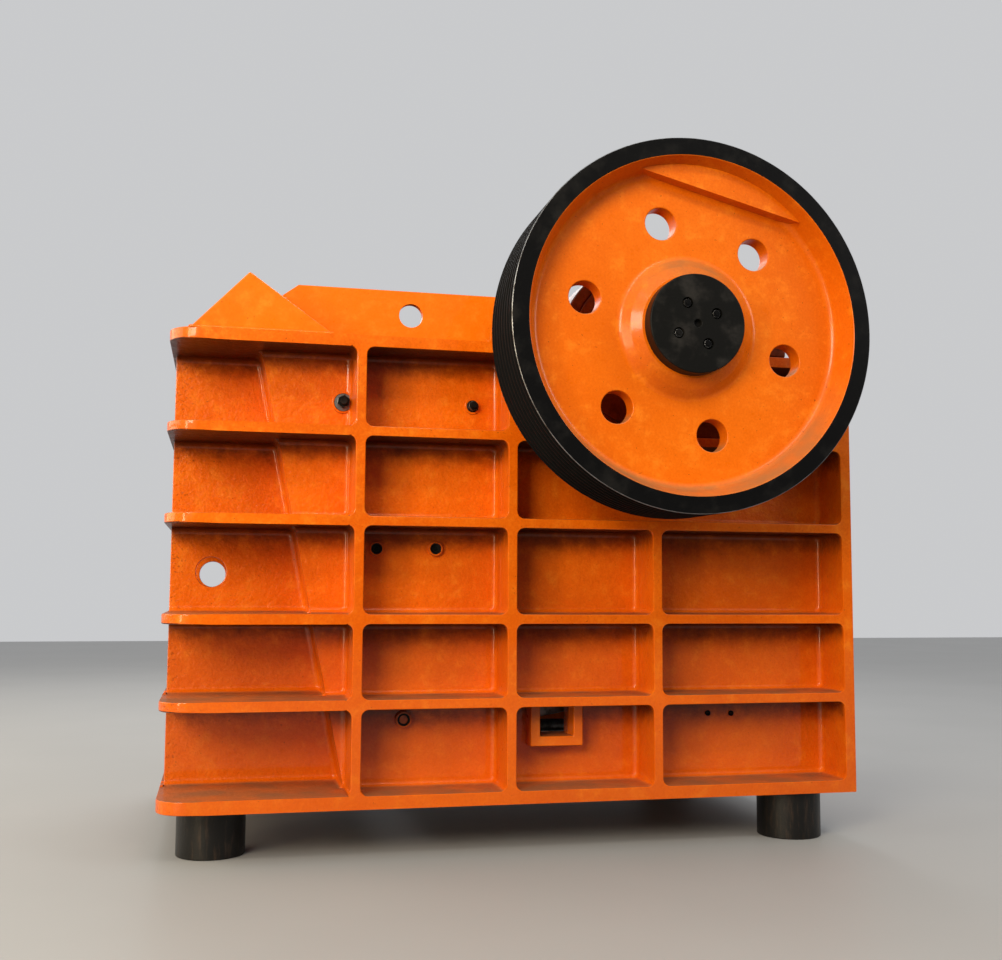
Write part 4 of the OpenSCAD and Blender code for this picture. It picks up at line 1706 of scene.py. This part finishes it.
@dataclass
class Bearings(Casting):
    """Saddles, housings and caps of the main bearings, with the caps' bolts."""

    edges: tuple[tuple[str, float], ...] = (("saddle", 0.004), ("housing", 0.005), ("cap", 0.008))
    nut: HexNut = HexNut(across=0.055, height=0.029, washer_t=0.006, stud_r=0.018, stud_out=0.02)
    middle_y: float = 0.6175
    foot_top: float = 1.467
    bolt_x: tuple[float, ...] = (-0.345, -0.435, 0.345, 0.435)
    bolt_turn: float = 0.3

    def build(self) -> None:
        """Dresses the bearings on both sides."""
        for side in Side:
            for kind, radius in self.edges:
                node = f"{side.word}_bearing_{kind}"
                # Painted shade: the bearings take the darkened enamel.
                self.give(node_copy(node, radius, 3), self.finishes.shaded_enamel, Slot.ORANGE, node)
            for i, x in enumerate(self.bolt_x):
                at = self.datum.at(self.sizes.axis_x + x, side.value * self.middle_y, self.foot_top)
                nut = self.nut.build(f"{side.word}_cap_nut_{i + 1}", at, UP, self.bolt_turn * i)
                self.give(nut, self.finishes.black, Slot.BLACK)


@dataclass
class Chamber(Casting):
    """Jaw plates, cheek plates, the swing jaw and the windows' frames."""

    worn: tuple[str, ...] = (
        "fixed_jaw_plate", "swing_jaw_plate", "upper_cheek_plates", "lower_cheek_plates",
    )
    worn_edge: float = 0.003
    jaw_edge: float = 0.008
    window_edge: float = 0.004

    def build(self) -> None:
        """Dresses the crushing chamber's pieces."""
        for node in self.worn:
            self.give(node_copy(node, self.worn_edge), self.finishes.jaw, Slot.JAW, node)
        jaw = node_copy("swing_jaw", self.jaw_edge, 3)
        self.give(jaw, self.finishes.casting, Slot.ORANGE, "swing_jaw")
        frames = node_copy("window_frames", self.window_edge)
        self.give(frames, self.finishes.rolled, Slot.ORANGE, "window_frames")


@dataclass
class ToggleGear(Casting):
    """Toggle plate, adjusting block, shims, tension rods and their springs."""

    edges: tuple[tuple[str, float], ...] = (
        ("toggle_plate", 0.004), ("shim_plates", 0.002), ("tension_rods", 0.002),
    )
    block_edge: float = 0.005
    rod_y: float = 0.280
    rod_z: float = 0.120
    spring: Coil = Coil()

    def build(self) -> None:
        """Dresses the gear and winds the springs."""
        for node, radius in self.edges:
            self.give(node_copy(node, radius), self.finishes.steel, Slot.STEEL, node)
        block = node_copy("adjusting_block", self.block_edge)
        self.give(block, self.finishes.rolled, Slot.ORANGE, "adjusting_block")
        x = self.sizes.length - self.sizes.back_depth + self.spring.wire
        for side in Side:
            at = self.datum.at(x, side.value * self.rod_y, self.rod_z)
            piece = self.spring.build(f"{side.word}_tension_spring", at, (1, 0, 0))
            nodes = ["tension_springs"] if side is Side.NEAR else []
            hand_over(dress(smooth(piece, 50), self.finishes.black), Body.FRAME, Slot.BLACK, nodes)


# Rotor


@dataclass
class Wheel(Casting):
    """A cast wheel: rim, web with round holes, hub and counterweight."""

    side: Side = Side.NEAR
    grooved: bool = True
    radius: float = 0.548
    rim_t: float = 0.052
    back: float = 0.847
    front: float = 1.097
    web_front: float = 1.015
    web_back: float = 0.955
    hub_back: float = 0.700
    hub_front: float = 1.056
    hub_r: float = 0.152
    hub_foot_r: float = 0.210
    bore: float = 0.1001
    draft: float = 0.026
    hole_r: float = 0.048
    hole_pitch_r: float = 0.321
    hole_turn: float = math.radians(28)
    hole_round: float = 0.004
    hole_past: float = 0.02
    arc: tuple[float, ...] = tuple(math.radians(k) for k in (0, 30, 60, 90))
    chord: float = 0.409
    weight_turn: float = math.radians(76)
    weight_sunk: float = 0.010
    weight_gap: float = 0.002
    weight_edge: float = 0.006
    flare: float = 0.030
    fillet: float = 0.030
    edge: float = 0.004
    lip: float = 0.003
    back_edge: Flat = (0.010, 0.006)
    back_draft: float = 0.020
    hub_drop: float = 0.018
    grooves: int = 8
    groove_pitch: float = 0.031
    groove_depth: float = 0.024
    groove_mouth: float = 0.011
    groove_foot: float = 0.004
    groove_edges: Flat = (0.0015, 0.001)
    black_from: float = 0.001
    worn_edge: float = 0.004
    bevel: Flat = (0.3, 0.95)
    steps: int = 144

    def at(self, y: float, radius: float = 0.0, turn: float = 0.0) -> Point:
        """A point of the wheel.

        Args:
            y: Distance from the machine's middle.
            radius: Distance from the axis.
            turn: Angle round the axis.

        Returns:
            The point in the part's frame.
        """
        s = self.sizes
        x = s.axis_x + radius * math.cos(turn)
        return self.datum.at(x, self.side.value * y, s.axis_z + radius * math.sin(turn))

    def tread(self) -> list[Corner]:
        """Draws the rim's outer face from back to front.

        Returns:
            The corners with their rounding.
        """
        corners = [(self.radius, self.back, self.edge)]
        middle = (self.back + self.front) / 2
        mouth, foot = self.groove_mouth, self.groove_foot
        top_edge, foot_edge = self.groove_edges
        deep = self.radius - self.groove_depth
        for i in range(self.grooves if self.grooved else 0):
            y = middle + (i - (self.grooves - 1) / 2) * self.groove_pitch
            corners += [
                (self.radius, y - mouth, top_edge), (deep, y - foot, foot_edge),
                (deep, y + foot, foot_edge), (self.radius, y + mouth, top_edge),
            ]
        return corners + [(self.radius, self.front, self.edge)]

    def section(self) -> list[Flat]:
        """Draws the wheel's section.

        Returns:
            The outline as radius and distance from the middle.
        """
        rim_in = self.radius - self.rim_t
        foot = self.hub_r + self.flare
        step, step_edge = self.back_edge
        return rounded([
            (self.bore, self.hub_back, 0), (self.hub_r + step, self.hub_back, step_edge),
            (foot, self.web_back, self.fillet), (rim_in - self.back_draft, self.web_back, self.fillet),
            (rim_in - self.edge, self.back, self.edge), *self.tread(), (rim_in, self.front, self.lip),
            (rim_in - self.draft, self.web_front, self.draft),
            (self.hub_foot_r, self.web_front, self.fillet),
            (foot, self.hub_front - self.hub_drop, self.fillet),
            (self.hub_r, self.hub_front, self.edge), (self.bore, self.hub_front, 0),
        ], 4)

    def counterweight(self) -> Piece:
        """Makes the solid between a chord and the rim.

        Returns:
            The counterweight.
        """
        y0, y1 = self.web_front - self.weight_sunk, self.hub_front
        radius = self.radius - self.rim_t - self.weight_gap
        disc = rod("counterweight", self.at(y0), self.at(y1), radius, self.steps)
        past = self.hole_past
        y0, y1 = sorted((self.side.value * (y0 - past), self.side.value * (y1 + past)))
        keep = box("keep", (self.chord, y0, -self.radius), (2 * self.radius, y1, self.radius))
        keep.data.transform(Matrix.Translation(self.at(0)) @ Matrix.Rotation(-self.weight_turn, 4, "Y"))
        carve(disc, [keep], "INTERSECT")
        return soften(disc, self.weight_edge, 3)

    def hole_cutter(self, turn: float) -> Piece:
        """Makes the shape of one web hole with its rounded rims.

        Args:
            turn: The hole's angle round the axis.

        Returns:
            The cutting solid.
        """
        edge, past = self.hole_round, self.hole_past
        wide, low, high = self.hole_r + edge, self.web_back, self.web_front
        back = [(wide - edge * math.sin(k), low + edge * (1 - math.cos(k))) for k in self.arc]
        front = [(radius, low + high - y) for radius, y in reversed(back)]
        profile = [(0, low - past), (wide, low - past), *back, *front, (wide, high + past), (0, high + past)]
        return spun("hole", profile, self.at(0, self.hole_pitch_r, turn), (0, self.side.value, 0), 48)

    def wear(self, piece: Piece) -> None:
        """Gives the wheel its finishes: dull grooves, and a rim edge of bare steel, partly rubbed wear and
        partly a painted glint.

        Args:
            piece: The wheel.
        """
        finishes = self.finishes
        dress(piece, finishes.wheel, finishes.black, finishes.steel, finishes.dry)
        wheel, black, steel, dry = range(4)
        x, _, z = self.at(0)
        flank = self.front - self.worn_edge
        for face in piece.data.polygons:
            away = math.hypot(face.center.x - x, face.center.z - z)
            y = abs(face.center.y)
            on_rim = self.radius - self.rim_t + self.black_from < away < 2 * self.radius
            face.material_index = black if on_rim else wheel
            # Bare steel round the rim's front edge: rubbed wear and a painted glint.
            if away > self.radius - self.worn_edge and y > flank:
                if self.bevel[0] < abs(face.normal.y) < self.bevel[1]:
                    face.material_index = steel
            elif on_rim and away < self.radius - CLOSE and y < flank:
                face.material_index = dry

    def build(self, name: str, node: str) -> None:
        """Builds the wheel.

        Args:
            name: Name of the piece.
            node: The CAD node that it stands for.
        """
        piece = spun(name, self.section(), self.at(0), (0, self.side.value, 0), self.steps)
        carve(piece, [self.counterweight()], "UNION")
        offs = (-self.hole_turn, self.hole_turn, math.pi / 2)
        turns = [self.weight_turn + half + off for half in (0.0, math.pi) for off in offs]
        carve(piece, [self.hole_cutter(turn) for turn in turns])
        self.wear(piece)
        hand_over(smooth(piece), Body.ROTOR, Slot.ORANGE, [node])


@dataclass
class Rotor(Casting):
    """Wheels, end caps and the eccentric shaft."""

    cap_r: float = 0.145
    cap_t: float = 0.047
    cap_back: float = 1.056
    cap_edges: Flat = (0.001, 0.004)
    centre: Corner = (0.012, 0.010, 0.012)
    centre_edge: float = 0.002
    bolt: HexNut = HexNut(
        across=0.021, height=0.009, washer_r=0.0145, washer_t=0.002, stud_r=0.005, stud_out=0.001
    )
    bolt_r: float = 0.066
    bolt_turn: float = math.radians(28)
    bolt_shine: Flat = (0.485, 0.515)
    seat_r: float = 0.0165
    seat_deep: float = 0.0135
    shaft_edge: float = 0.003

    def end_cap(self, side: Side) -> None:
        """Builds one end cap with a centre hole, and four bolts sunk in seats.

        Args:
            side: The side of the machine.
        """
        s = self.sizes
        away = (0, side.value, 0)
        back_edge, front_edge = self.cap_edges
        wide, narrow, deep = self.centre
        profile = rounded([
            (0, 0, 0), (self.cap_r, 0, back_edge), (self.cap_r, self.cap_t, front_edge),
            (wide, self.cap_t, self.centre_edge), (narrow, self.cap_t - deep, 0), (0, self.cap_t - deep, 0),
        ], 3)
        base = self.datum.at(s.axis_x, side.value * self.cap_back, s.axis_z)
        cap = spun(f"{side.word}_end_cap_turned", profile, base, away, 96)
        face = self.cap_back + self.cap_t
        low, high = (self.bolt.across * share for share in self.bolt_shine)
        seats = []
        for i in range(4):
            turn = self.bolt_turn + i * math.pi / 2
            x = s.axis_x + self.bolt_r * math.cos(turn)
            z = s.axis_z + self.bolt_r * math.sin(turn)
            at = self.datum.at(x, side.value * (face - self.seat_deep), z)
            clear = self.datum.at(x, side.value * (face + s.over), z)
            seats.append(rod("bolt_seat", at, clear, self.seat_r, 32))
            bolt = smooth(self.bolt.build(f"{side.word}_cap_bolt_{i + 1}", at, away, i / 2))
            # Bare steel on the bolts' hex: rubbed wear and a painted glint.
            dress_band(bolt, at, (low, high), self.finishes.black, self.finishes.steel)
            hand_over(bolt, Body.ROTOR, Slot.BLACK)
        carve(cap, seats)
        self.give(cap, self.finishes.cap, Slot.BLACK, f"{side.word}_end_cap", body=Body.ROTOR)

    def build(self) -> None:
        """Builds the rotor's pieces."""
        Wheel(self.datum, self.finishes).build("grooved_pulley", "pulley_wheel")
        Wheel(self.datum, self.finishes, side=Side.FAR, grooved=False).build("plain_flywheel", "flywheel")
        for side in Side:
            self.end_cap(side)
        shaft = node_copy("eccentric_shaft", self.shaft_edge)
        self.give(shaft, self.finishes.steel, Slot.STEEL, "eccentric_shaft", body=Body.ROTOR)


@dataclass
class SupportBlocks(Casting):
    """Round bars that the frame's corners stand on."""

    radius: float = 0.102
    height: float = 0.150
    edges: Flat = (0.004, 0.003)
    places: tuple[tuple[str, float, float], ...] = (("front", 0.157, 0.483), ("back", 2.004, 0.563))

    def build(self) -> None:
        """Builds the four blocks."""
        low, high = self.edges
        corners = [(0, 0, 0), (self.radius, 0, low), (self.radius, self.height, high), (0, self.height, 0)]
        profile = rounded(corners, 3)
        for end, x, y in self.places:
            for side in Side:
                name = f"{end}_{side.word}_block"
                at = self.datum.at(x, side.value * y, -self.height)
                piece = spun(f"{name}_turned", profile, at, UP, 72)
                self.give(piece, self.finishes.block, Slot.BLOCK, name)


def record_sizes() -> None:
    """Updates the view layer.
    """
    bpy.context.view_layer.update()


def main() -> None:
    """Builds the scene."""
    logging.basicConfig(level=logging.INFO, format="%(name)s: %(message)s")
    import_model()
    Studio().build()
    datum = Datum.from_frame()
    finishes = Finishes()
    for group in (Frame, SideFittings, Feed, Bearings, Chamber, ToggleGear, Rotor, SupportBlocks):
        group(datum, finishes).build()
    record_sizes()


if __name__ == "__main__":
    main()
